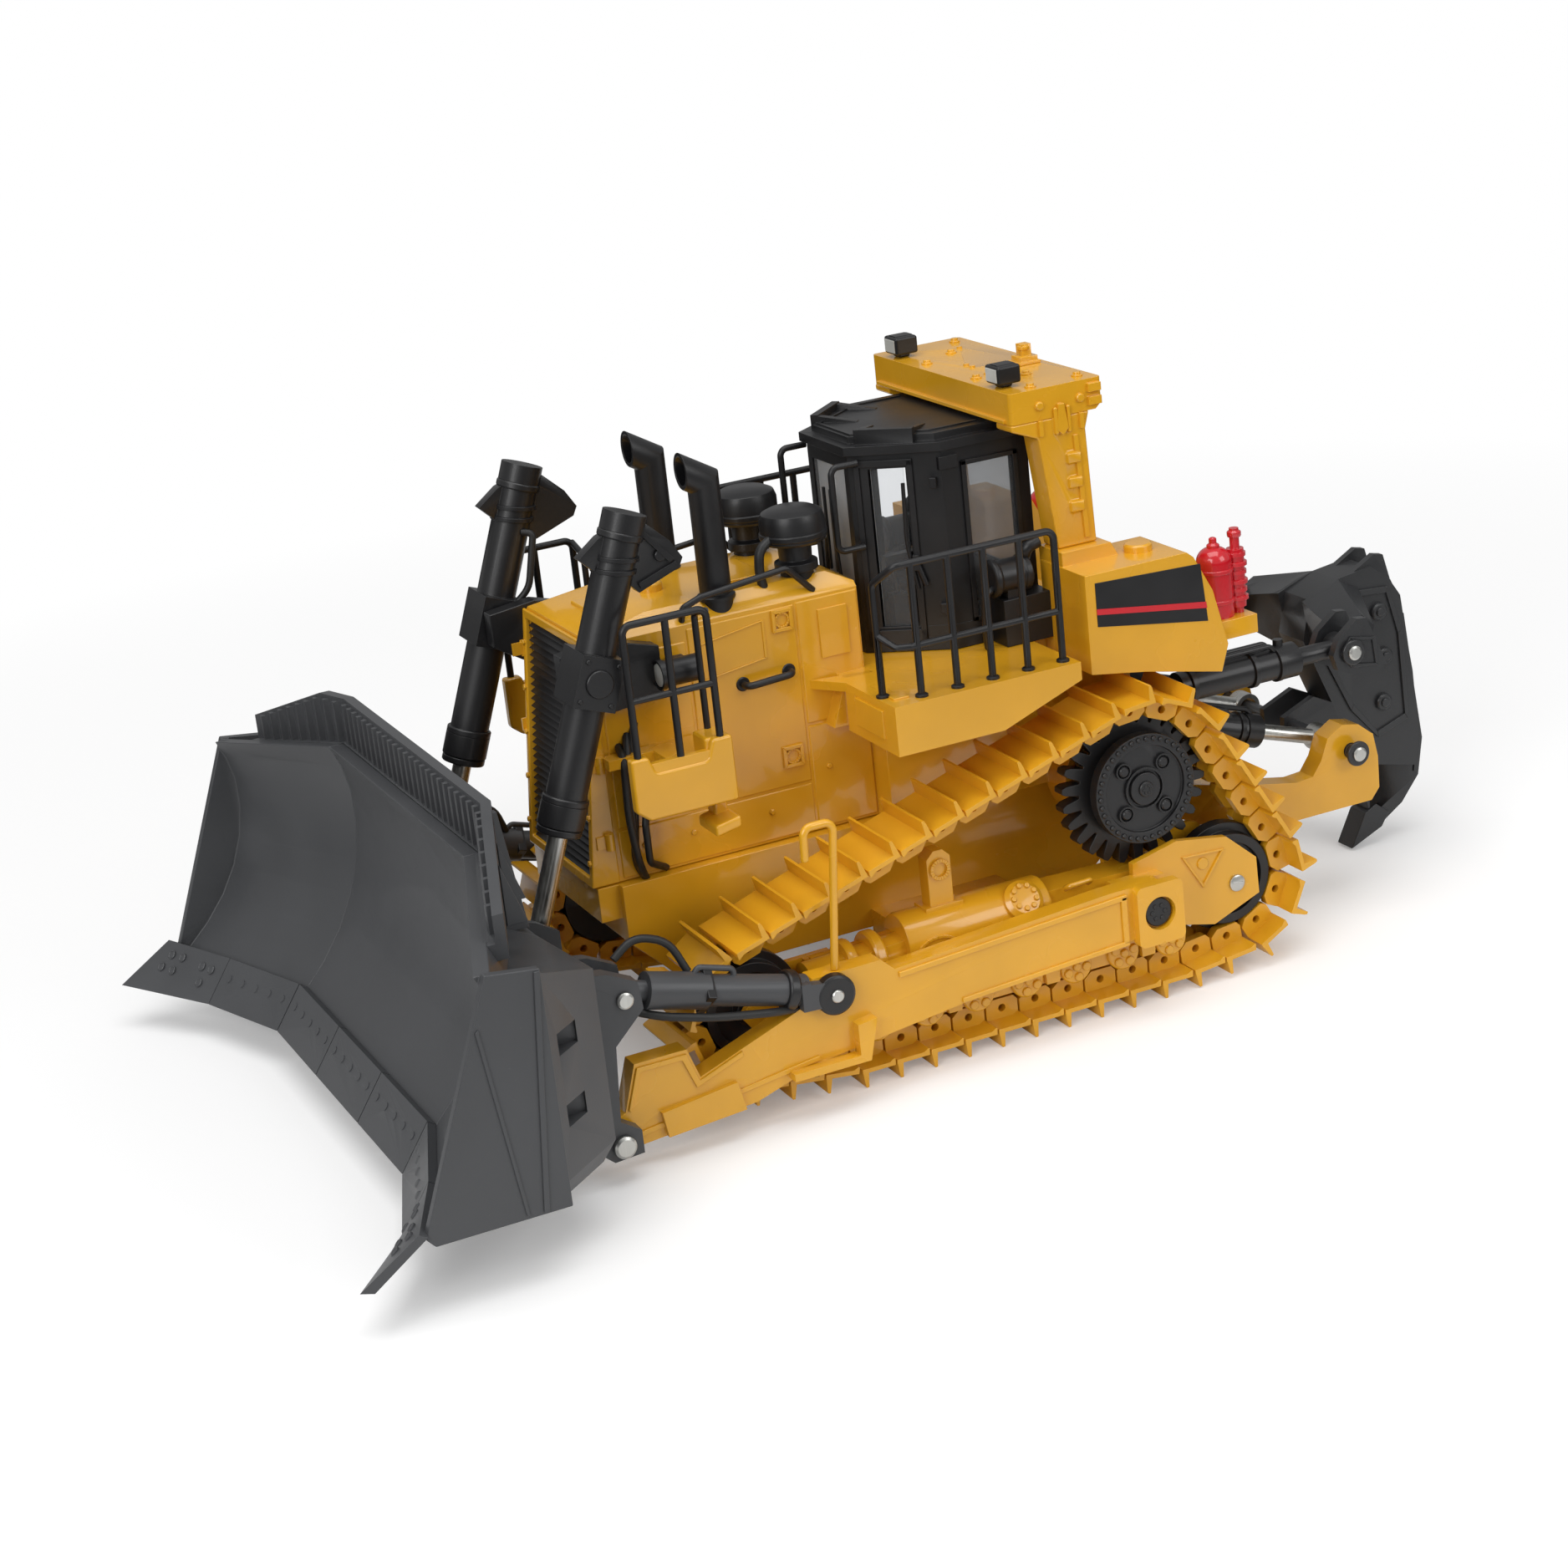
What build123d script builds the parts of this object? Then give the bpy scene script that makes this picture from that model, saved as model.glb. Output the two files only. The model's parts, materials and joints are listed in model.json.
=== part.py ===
from build123d import *
from math import asin, atan2, cos, hypot, pi, sin
import os

# A 1:50 die-cast toy crawler bulldozer. Millimetres, +X towards the blade, +Y to
# the machine's left, +Z up, origin on the floor under the middle of its length.

os.makedirs("parts", exist_ok=True)
SIDES = (1, -1)                  # left, right

# ---------------------------------------------------------------- tracks
TRACK_Y = 28.4                   # track centre from the machine's middle
SHOE_W = 13.8                    # shoe width
PITCH = 5.85                     # nominal distance between link pins
PIN_Z = 4.6                      # pin height over the floor on the ground run
GROUSER_H = 2.3                  # grouser bar under the shoe plate
SHOE_T = 0.7
LINK_GAP = 1.5                   # half the room between the two link rails
LINK_T = 1.6
LINK_H = 1.6                     # rail height above and below the pin line
PIN_HOLE_R = 0.62
SPROCKET_X, SPROCKET_Z, SPROCKET_TEETH = -33.5, 34.0, 13
REAR_X, REAR_Z, REAR_R = -48.3, 14.9, 9.1   # rear idler axle and its pin-line radius
FRONT_X, FRONT_Z, FRONT_R = 34.4, 15.7, 9.0
NOSE_X, TAIL_X, BEND_R = 17.5, -37.0, 5.0   # end rollers, where the run starts to rise

# ---------------------------------------------------------------- body
HOOD_HW = 13.0                   # half the hood's width
HOOD_X0, HOOD_X1 = 2.2, 45.6     # cab end and grille end
HOOD_Z0, HOOD_Z1 = 33.0, 72.4
GRILLE_TOP_X, GRILLE_BOT_X = 45.8, 49.6
GRILLE_Z0, GRILLE_Z1 = 33.2, 68.6
GRILLE_HW = 12.0
GRILLE_SLAT_Z0, GRILLE_SLAT_Z1 = 34.6, 68.8
DECK_Z = 57.0                    # walkway deck height
DECK_Y0, DECK_Y1 = 13.4, 34.4
CAB_Z0, CAB_Z1 = 57.0, 88.2      # cab floor line and underside of the roof
CAB_FRONT_X, CAB_KINK_X, CAB_REAR_X = -1.2, -12.6, -27.4
CAB_FRONT_HW, CAB_KINK_HW = 7.0, 15.4
ROPS_TOP, ROPS_HW = 96.0, 22.4
ROPS_X0, ROPS_X1 = -37.0, -21.2
TANK_Z1 = 68.8

# ---------------------------------------------------------------- blade
TRUNNION = (-30.0, 16.9)         # push arm pivot, X and Z
ARM_Y0, ARM_Y1 = 36.0, 39.4      # push arm's inner and outer face
BLADE_PIN = (60.8, 5.9)
BRACE_ARM_PIN, BRACE_BLADE_PIN = (24.9, 18.6), (57.9, 27.6)
CENTRE_HW = 31.2                 # half the width of the flat centre section
TIP_Y = 62.6                     # outer edge of the moldboard
EDGE_Z, MOLD_Z0 = 5.9, 11.4      # cutting edge and moldboard bottom
BLADE_T = 1.5
GUARD_X, GUARD_TOP, GUARD_RIBS = 69.4, 57.0, 25
LIFT_PIVOT = (48.8, 67.5)        # lift cylinder trunnion, X and Z
LIFT_END = (62.3, 30.5)          # rod end pin on the blade's back
LIFT_Y = 20.6
LIFT_R = 3.0
LIFT_BLOCK_IN = 4.2              # trunnion block's reach towards the hood
LIFT_GUARD = ((40.1, 78.6), (33.6, 81.0), (32.9, 82.4), (34.6, 85.2), (38.2, 88.6), (40.4, 89.4), (45.2, 87.7),
              (48.6, 85.2), (46.2, 82.8), (42.6, 81.4))

# ---------------------------------------------------------------- ripper
ARM_PIN_X, ARM_PIN_Z = -79.7, 25.8
HITCH_X = -45.0                  # chassis pivots of the ripper
LINK_RISE = 17.2                 # upper pivot over lower pivot
RIPPER_Y = 18.2
RAM_HITCH = (-45.0, 37.2)
RAM_Y = 11.4


# ================================================================ helpers
def box(x0, x1, y0, y1, z0, z1):
    return Pos((x0 + x1) / 2, (y0 + y1) / 2, (z0 + z1) / 2) * Box(
        abs(x1 - x0), abs(y1 - y0), abs(z1 - z0))


def rounded(shape, axis, radius):
    """Round the edges that run along one axis."""
    return fillet(shape.edges().filter_by(axis), radius)


def face_of(points):
    return make_face(Polyline(*points, close=True))


def side_prism(points, y0, y1):
    """A solid from an outline in X and Z, between two Y planes."""
    solid = extrude(face_of(points), amount=abs(y1 - y0), dir=(0, 0, 1))
    plane = Plane(origin=(0, max(y0, y1), 0), x_dir=(1, 0, 0), z_dir=(0, -1, 0))
    return plane.location * solid


def plan_prism(points, z0, z1):
    """A solid from an outline in X and Y, between two Z planes."""
    return Pos(0, 0, z0) * extrude(face_of(points), amount=z1 - z0, dir=(0, 0, 1))


def front_prism(points, x0, x1):
    """A solid from an outline in Y and Z, between two X planes."""
    solid = extrude(face_of(points), amount=x1 - x0, dir=(0, 0, 1))
    return Plane(origin=(x0, 0, 0), x_dir=(0, 1, 0), z_dir=(1, 0, 0)).location * solid


def rod(start, end, radius):
    """A round bar between two points."""
    a, b = Vector(*start), Vector(*end)
    bar = Cylinder(radius, (b - a).length, align=(Align.CENTER, Align.CENTER, Align.MIN))
    return Plane(origin=a, z_dir=(b - a)).location * bar


def pin(x, z, radius, y0, y1):
    """A round bar across the machine."""
    return rod((x, min(y0, y1), z), (x, max(y0, y1), z), radius)


def post(x, y, radius, z0, z1):
    return rod((x, y, z0), (x, y, z1), radius)


def bent_bar(points, radius, bend=None):
    """A round bar through points, with rounded corners."""
    bend = bend or 2.2 * radius
    path = FilletPolyline(*points, radius=bend)
    start = Plane(origin=path @ 0, z_dir=path % 0)
    return sweep(start * Circle(radius), path=path)


def mirrored(shape, side):
    return shape if side > 0 else mirror(shape, about=Plane.XZ)


def joined(pieces):
    """One solid out of touching pieces."""
    result = pieces[0]
    for piece in pieces[1:]:
        result = result + piece
    return result


NODES = {}


def write(name, pieces):
    """Keep a node's pieces until the fits are cut."""
    NODES[name] = pieces if isinstance(pieces, list) else [pieces]


def trim(name, *others):
    """Cut a node's pieces back where they meet pieces of other nodes."""
    cutters = [solid for other in others for piece in NODES[other] for solid in piece.solids()]
    trimmed = []
    for piece in NODES[name]:
        for cutter in cutters:
            if overlapping(piece.bounding_box(), cutter.bounding_box()):
                piece = piece - cutter
        trimmed.append(piece)
    NODES[name] = trimmed


def overlapping(a, b):
    return (a.min.X < b.max.X and b.min.X < a.max.X and a.min.Y < b.max.Y
            and b.min.Y < a.max.Y and a.min.Z < b.max.Z and b.min.Z < a.max.Z)


def export_nodes():
    """One STEP file for each node, as separate solids."""
    for name, pieces in NODES.items():
        solids = [solid for piece in pieces for solid in piece.solids() if solid.volume > 0.05]
        export_step(Compound(children=solids) if len(solids) > 1 else solids[0],
                    f"parts/{name}.step")


def ring_points(cx, cz, radius, count, phase=0.0):
    turn = 2 * pi / count
    return [(cx + radius * cos(phase + i * turn), cz + radius * sin(phase + i * turn))
            for i in range(count)]


# ================================================================ track path
def track_circles():
    """The guide circles of the pin line, counter-clockwise seen from -Y."""
    pitch_radius = PITCH / (2 * sin(pi / SPROCKET_TEETH))
    return [(REAR_X, REAR_Z, REAR_R), (TAIL_X, PIN_Z + BEND_R, BEND_R),
            (NOSE_X, PIN_Z + BEND_R, BEND_R), (FRONT_X, FRONT_Z, FRONT_R), (SPROCKET_X, SPROCKET_Z, pitch_radius)]


def track_path():
    """Straight and round stretches of the pin line: (length, place at a distance)."""
    circles = track_circles()
    legs = []
    for i, (x0, z0, r0) in enumerate(circles):
        x1, z1, r1 = circles[(i + 1) % len(circles)]
        span = hypot(x1 - x0, z1 - z0)
        heading = atan2(z1 - z0, x1 - x0) - asin((r1 - r0) / span)
        legs.append((heading, span * cos(asin((r1 - r0) / span))))
    path = []
    for i, (x, z, r) in enumerate(circles):
        arrive, leave = legs[i - 1][0], legs[i][0]
        turn = (leave - arrive) % (2 * pi)
        path.append(("arc", r * turn, x, z, r, arrive))
        start = (x + r * sin(leave), z - r * cos(leave))
        path.append(("run", legs[i][1], start[0], start[1], 0.0, leave))
    return path


def place_on_track(path, distance):
    """Point and heading on the pin line."""
    for kind, length, x, z, r, heading in path:
        if distance <= length:
            if kind == "run":
                return x + distance * cos(heading), z + distance * sin(heading), heading
            angle = heading + distance / r
            return x + r * sin(angle), z - r * cos(angle), angle
        distance -= length
    return place_on_track(path, distance)


def shoe_link(pitch):
    """One link with its shoe, pin line along X, shoe below."""
    half = 0.47 * pitch
    lug = [(-half, -LINK_H), (half, -LINK_H), (half, 0.35 * LINK_H), (0.55 * half, LINK_H),
           (-0.75 * half, LINK_H), (-half, 0.5 * LINK_H)]
    rails = []
    for y in SIDES:
        inner, outer = y * LINK_GAP, y * (LINK_GAP + LINK_T)
        rail = side_prism(lug, inner, outer)
        rails.append(rail - pin(0, 0, PIN_HOLE_R, inner - 1, outer + 1))
    plate_z = -LINK_H - SHOE_T
    plate = box(-half, half, -SHOE_W / 2, SHOE_W / 2, plate_z, -LINK_H)
    lip = side_prism([(-half, plate_z), (-half + 0.9, plate_z), (-half + 0.9, -LINK_H),
                      (-half + 0.1, -LINK_H + 0.45), (-half - 0.1, -LINK_H + 0.3)],
                     -SHOE_W / 2, SHOE_W / 2)
    bar_x = half - 1.0
    bar = side_prism([(bar_x, plate_z), (bar_x + 0.95, plate_z), (bar_x + 0.75, plate_z - GROUSER_H + 0.4),
                      (bar_x + 0.6, plate_z - GROUSER_H), (bar_x + 0.2, plate_z - GROUSER_H)],
                     -SHOE_W / 2, SHOE_W / 2)
    return joined([plate, lip, bar] + rails)


def make_tracks():
    path = track_path()
    total = sum(stretch[1] for stretch in path)
    count = round(total / PITCH)
    pitch = total / count
    link = shoe_link(pitch)
    for side, word in ((1, "left"), (-1, "right")):
        links = []
        for i in range(count):
            x, z, heading = place_on_track(path, (i + 0.5) * pitch)
            turn = Plane(origin=(x, side * TRACK_Y, z),
                         x_dir=(cos(heading), 0, sin(heading)), z_dir=(-sin(heading), 0, cos(heading)))
            links.append(turn.location * link)
        write(f"track_{word}", links)
    return count, pitch


# ================================================================ running gear
def make_sprockets():
    pitch_radius = PITCH / (2 * sin(pi / SPROCKET_TEETH))
    root, tip = pitch_radius - 2.5, pitch_radius + 0.5
    outline = []
    # two teeth for each link, as on a hunting-tooth sprocket
    for i in range(2 * SPROCKET_TEETH):
        middle = pi * (i + 0.5) / SPROCKET_TEETH
        for radius, offset in ((root, -0.10), (tip - 0.7, -0.062), (tip, -0.032),
                               (tip, 0.032), (tip - 0.7, 0.062), (root, 0.10)):
            outline.append((SPROCKET_X + radius * cos(middle + offset),
                            SPROCKET_Z + radius * sin(middle + offset)))
    for side, word in ((1, "left"), (-1, "right")):
        y = side * TRACK_Y
        wheel = side_prism(outline, y - 1.2, y + 1.2)
        hub = pin(SPROCKET_X, SPROCKET_Z, 7.6, y - side * 4.6, y + side * 2.6)
        bore = pin(SPROCKET_X, SPROCKET_Z, 2.55, y - 8, y + 8)
        write(f"sprocket_{word}", (wheel + hub) - bore)
        cover = pin(SPROCKET_X, SPROCKET_Z, 8.7, y + side * 2.6, y + side * 4.6)
        dish = pin(SPROCKET_X, SPROCKET_Z, 6.9, y + side * 4.0, y + side * 4.7)
        boss = pin(SPROCKET_X, SPROCKET_Z, 2.6, y + side * 3.9, y + side * 4.7)
        cover = (cover - dish) + boss
        screws = [pin(x, z, 0.85, y + side * 3.95, y + side * 4.5)
                  for x, z in ring_points(SPROCKET_X, SPROCKET_Z, 4.9, 4, pi / 4)]
        write(f"hub_cover_{word}", joined([cover] + screws))


def idler(x, z, pin_radius, side):
    """A wheel that runs between the link rails, with a raised rim on both sides."""
    y = side * TRACK_Y
    tread = pin_radius - LINK_H - 0.15
    wheel = pin(x, z, tread, y - 3.0, y + 3.0)
    flange = pin(x, z, pin_radius - 0.4, y - 1.1, y + 1.1)
    dish = pin(x, z, tread - 1.5, y + side * 1.9, y + side * 3.1)
    hub = pin(x, z, 2.6, y - side * 3.4, y + side * 3.4)
    return ((wheel + flange - dish) + hub) - pin(x, z, 1.25, y - 8, y + 8)


def make_idlers():
    for side, word in ((1, "left"), (-1, "right")):
        write(f"front_idler_{word}", idler(FRONT_X, FRONT_Z, FRONT_R, side))
        write(f"rear_idler_{word}", idler(REAR_X, REAR_Z, REAR_R, side))


def track_frame(side):
    """Box frame, recoil tube, cast rollers and axles of one track."""
    y = TRACK_Y
    floor_z = PIN_Z + LINK_H
    roller_z = floor_z + 2.7
    frame = side_prism([(-38.8, 12.4), (22.0, 12.4), (22.0, 18.8), (-14.0, 21.2), (-38.8, 20.6)],
                       y - 2.9, y + 2.9)
    tube = rod((-4.0, y, 17.4), (24.2, y, FRONT_Z + 0.3), 3.3)
    cheek = [(18.0, 12.8), (FRONT_X + 0.5, 12.8), (FRONT_X + 2.6, FRONT_Z), (FRONT_X + 0.5, 18.4), (18.0, 18.6)]
    front_cheeks = [side_prism(cheek, y + s * 3.8, y + s * 5.0) for s in SIDES]
    front_web = box(18.4, 22.6, y - 5.0, y + 5.0, 13.0, 18.4)
    rear_outline = [(-52.4, 12.2), (-44.0, 9.0), (-36.0, 11.0), (-30.0, 12.4), (-30.0, 22.6),
                    (-38.0, 24.4), (-47.0, 22.9), (-52.2, 18.2)]
    rear_cheeks = [side_prism(rear_outline, y + s * 3.8, y + s * 5.0) for s in SIDES]
    rear_web = box(-37.0, -33.5, y - 5.0, y + 5.0, 12.6, 20.4)
    skirt = side_prism([(-28.5, 7.4), (14.0, 7.4), (17.0, 10.6), (17.0, 14.0), (-28.5, 14.0)],
                       y + 3.6, y + 4.9)
    skirt_web = box(-28.5, 17.0, y - 3.0, y + 4.4, 12.6, 13.9)
    rollers = []
    for i in range(7):
        x = -35.6 + i * 8.5
        wheel = pin(x, roller_z, 2.6, y - 3.1, y + 3.1)
        rollers.append(wheel + box(x - 1.4, x + 1.4, y - 2.4, y + 2.4, roller_z, 13.6))
    axles = [pin(FRONT_X, FRONT_Z, 1.2, y - 5.0, y + 5.0), pin(REAR_X, REAR_Z, 1.2, y - 5.0, y + 5.0)]
    trunnion = box(TRUNNION[0] - 4.2, TRUNNION[0] + 4.4, y + 4.4, ARM_Y0 - 0.4, 11.6, 20.8)
    pivot = pin(TRUNNION[0], TRUNNION[1], 1.9, ARM_Y0 - 1.0, ARM_Y1 + 0.3)
    cross_arm = box(-16.0, 6.0, 14.7, y - 2.0, 14.0, 19.0)
    pieces = ([frame, tube, front_web, rear_web, skirt_web, skirt, cross_arm]
              + front_cheeks + rear_cheeks + rollers + axles + [trunnion, pivot])
    return mirrored(joined(pieces), side)


# ================================================================ chassis
def make_main_frame():
    belly = side_prism([(-41.0, 22.0), (-34.0, 16.0), (38.0, 16.0), (46.0, 24.0), (46.0, 33.0),
                        (-41.0, 33.0)], -14.8, 14.8)
    front_guard = box(38.0, 49.4, -13.4, 13.4, 27.6, 33.0)
    mid_case = box(-41.0, HOOD_X0, -17.8, 17.8, 33.0, DECK_Z - 0.05)
    engine_bay = box(HOOD_X0, 30.0, -10.0, 10.0, 33.0, 36.0)
    final_drives = []
    for side in SIDES:
        final_drives.append(pin(SPROCKET_X, SPROCKET_Z, 8.4, side * 17.0, side * 23.3))
        final_drives.append(pin(SPROCKET_X, SPROCKET_Z, 2.5, side * 20.0, side * 30.8))
    write("main_frame", joined([belly, front_guard, mid_case, engine_bay] + final_drives))


def hitch_plate(side):
    """Rear bracket cheek with the ripper's two pivots."""
    y0, y1 = RIPPER_Y - 3.9, RIPPER_Y - 2.3
    upper_z = ARM_PIN_Z + LINK_RISE
    cheek = side_prism([(-41.0, 20.5), (-46.0, 22.6), (HITCH_X - 3.0, ARM_PIN_Z), (-47.2, 34.0),
                        (HITCH_X - 3.0, upper_z), (-46.4, upper_z + 3.2), (-41.0, upper_z + 5.0)],
                       y0, y1)
    pins = [pin(HITCH_X, z, 1.2, y0, RIPPER_Y + 2.1) for z in (ARM_PIN_Z, upper_z)]
    return mirrored(joined([cheek] + pins), side)


def make_rear_bracket():
    plate = box(-42.4, -41.0, -15.9, 15.9, 22.5, 48.0)
    ram_cheeks = []
    for side in SIDES:
        outer, inner = RAM_Y + 2.0, RAM_Y - 2.0
        rise = RAM_HITCH[1]
        lug = side_prism([(-42.4, rise - 2.6), (-45.6, rise - 1.8), (-46.6, rise),
                          (-45.6, rise + 1.8), (-42.4, rise + 2.6)], inner - 1.0, inner - 0.2)
        axle = pin(RAM_HITCH[0], rise, 0.9, inner - 1.0, outer + 0.2)
        ram_cheeks.append(mirrored(lug + axle, side))
    block = rounded(box(-45.6, -42.4, -7.0, 7.0, 40.0, 47.0), Axis.Y, 0.8)
    write("rear_bracket", joined([plate, block] + [hitch_plate(s) for s in SIDES] + ram_cheeks))


def make_hood():
    body = front_prism([(-HOOD_HW, HOOD_Z0 + 0.2), (HOOD_HW, HOOD_Z0 + 0.2), (HOOD_HW, HOOD_Z1 - 2.6),
                        (HOOD_HW - 2.6, HOOD_Z1), (-HOOD_HW + 2.6, HOOD_Z1),
                        (-HOOD_HW, HOOD_Z1 - 2.6)], HOOD_X0, HOOD_X1)
    nose = side_prism([(30.0, HOOD_Z1 + 1), (HOOD_X1 + 1, HOOD_Z1 - 2.0),
                       (HOOD_X1 + 1, HOOD_Z1 + 1)], -20, 20)
    tail = side_prism([(HOOD_X0 - 1, HOOD_Z1 - 2.4), (8.0, HOOD_Z1 + 1), (HOOD_X0 - 1, HOOD_Z1 + 1)],
                      -20, 20)
    cavity = box(HOOD_X0 + 1.6, HOOD_X1 - 1.6, -HOOD_HW + 2.8, HOOD_HW - 2.8, HOOD_Z0 - 1, HOOD_Z1 - 5.0)
    # the louvre panel closes the front of the hood
    recess = box(HOOD_X1 - 1.7, HOOD_X1 + 2, -GRILLE_HW, GRILLE_HW, GRILLE_SLAT_Z0, GRILLE_SLAT_Z1)
    shell = body - nose - tail - cavity - recess
    sockets = [post(x, side * y, r, 60.0, 90.0) for x, y, r in STACK_SOCKETS for side in SIDES]
    for socket in sockets:
        shell = shell - socket
    write("hood", shell)


STACK_X, STACK_Y, STACK_R = 23.8, 10.2, 2.4
STACK_BEND_Z, STACK_LEAN, STACK_MOUTH_X = 89.8, 0.546, 27.2
CLEANER_X, CLEANER_Y = 9.6, 8.5
STACK_SOCKETS = ((STACK_X, STACK_Y, STACK_R + 0.02), (CLEANER_X, CLEANER_Y, 2.52))


def make_grille():
    lean = GRILLE_BOT_X - GRILLE_TOP_X

    def face_x(z):
        return GRILLE_BOT_X - lean * (z - GRILLE_Z0) / (GRILLE_Z1 - GRILLE_Z0)

    frame = side_prism([(HOOD_X1, HOOD_Z0 + 0.2), (face_x(HOOD_Z0) + 0.5, HOOD_Z0 + 0.2),
                        (face_x(70.2) + 0.5, 70.2), (HOOD_X1, 70.2)], -HOOD_HW - 0.3, HOOD_HW + 0.3)
    window = box(HOOD_X1 - 1, 60, -GRILLE_HW, GRILLE_HW, GRILLE_SLAT_Z0, GRILLE_SLAT_Z1)
    write("grille_frame", frame - window)
    # thirty downward louvres make a saw-tooth front face
    count, z_low, z_high = 30, GRILLE_SLAT_Z0, GRILLE_SLAT_Z1
    rise = (z_high - z_low) / count
    outline = [(HOOD_X1 - 1.65, z_high), (HOOD_X1 - 1.65, z_low)]
    for i in range(count):
        z = z_low + i * rise
        outline += [(face_x(z), z), (face_x(z) - 0.85, z + 0.45 * rise)]
    outline.append((face_x(z_high), z_high))
    write("radiator_grille", side_prism(outline, -GRILLE_HW, GRILLE_HW))


def make_stacks():
    """Upright pipes whose mitred heads lean forward and end in an open mouth."""
    lean_x, lean_z = cos(STACK_LEAN), sin(STACK_LEAN)
    size = hypot(lean_x, 1 + lean_z)
    nx, nz = lean_x / size, (1 + lean_z) / size
    reach = 9.0
    left = (STACK_X - nz * reach, STACK_BEND_Z + nx * reach)
    right = (STACK_X + nz * reach, STACK_BEND_Z - nx * reach)
    above = [left, right, (right[0] + nx * reach, right[1] + nz * reach), (left[0] + nx * reach, left[1] + nz * reach)]
    below = [left, right, (right[0] - nx * reach, right[1] - nz * reach), (left[0] - nx * reach, left[1] - nz * reach)]
    stacks = []
    for side in SIDES:
        y = side * STACK_Y

        def head_bar(back, front, radius):
            return rod((STACK_X - lean_x * back, y, STACK_BEND_Z - lean_z * back),
                       (STACK_X + lean_x * front, y, STACK_BEND_Z + lean_z * front), radius)

        tube = post(STACK_X, y, STACK_R, 66.0, STACK_BEND_Z + 3.0) - side_prism(above, y - 4, y + 4)
        head = head_bar(4.0, 8.0, STACK_R) - side_prism(below, y - 4, y + 4)
        mouth = box(STACK_MOUTH_X, STACK_MOUTH_X + 9, y - 4, y + 4, 80.0, 100.0)
        stacks.append((tube + head) - mouth - head_bar(0.0, 9.0, STACK_R - 0.55))
    write("exhaust_stacks", stacks)


def make_precleaners():
    cleaners = []
    for side in SIDES:
        y = side * CLEANER_Y
        neck = post(CLEANER_X, y, 2.5, 66.0, 78.4)
        skirt = post(CLEANER_X, y, 3.1, 73.2, 74.6)
        head = fillet(post(CLEANER_X, y, 4.2, 77.6, 82.6).edges().group_by(Axis.Z)[-1], 1.2)
        cleaners.append(joined([neck, skirt, head]))
    write("precleaners", cleaners)


def make_handrails():
    rails = []
    for side in SIDES:
        y = side * 13.2
        rails.append(bent_bar([(30.6, side * 12.2, 70.0), (30.6, y, 72.4), (27.4, y, 73.5), (13.4, y, 74.9),
                               (9.0, side * 12.2, 70.4)], 0.5, 0.9))
        y = side * 8.9
        rails.append(bent_bar([(-1.8, y, 87.2), (2.6, y, 87.2), (2.6, y, 74.2), (-1.8, y, 74.2)], 0.5, 1.2))
        rails.append(bent_bar([(22.4, side * 12.8, 58.9), (22.4, side * 15.2, 58.9),
                               (14.8, side * 15.2, 59.3), (14.8, side * 12.8, 59.3)], 0.55, 1.1))
    write("handrails", rails)


# ================================================================ cab
def cab_outline(inset=0.0):
    """Plan of the cab: narrow front, angled doors, straight rear."""
    f, k = CAB_FRONT_HW - 0.6 * inset, CAB_KINK_HW - inset
    front, rear = CAB_FRONT_X - inset, CAB_REAR_X + inset
    kink = CAB_KINK_X - 0.3 * inset
    return [(front, -f), (front, f), (kink, k), (rear, k), (rear, -k), (kink, -k)]


def wall_between(a, b, z0, z1, thick=1.2):
    """A flat wall on the inner side of one plan edge."""
    length = hypot(b[0] - a[0], b[1] - a[1])
    nx, ny = (b[1] - a[1]) / length, -(b[0] - a[0]) / length
    inner = [(a[0] - nx * thick, a[1] - ny * thick), (b[0] - nx * thick, b[1] - ny * thick)]
    return plan_prism([a, b, inner[1], inner[0]], z0, z1)


def corner_post(point, toward, size=1.7):
    """An upright of the cab at one plan corner, drawn a little inwards."""
    x, y = point[0] + toward[0] * size / 2, point[1] + toward[1] * size / 2
    return box(x - size / 2, x + size / 2, y - size / 2, y + size / 2, CAB_Z0, CAB_Z1)


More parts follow.
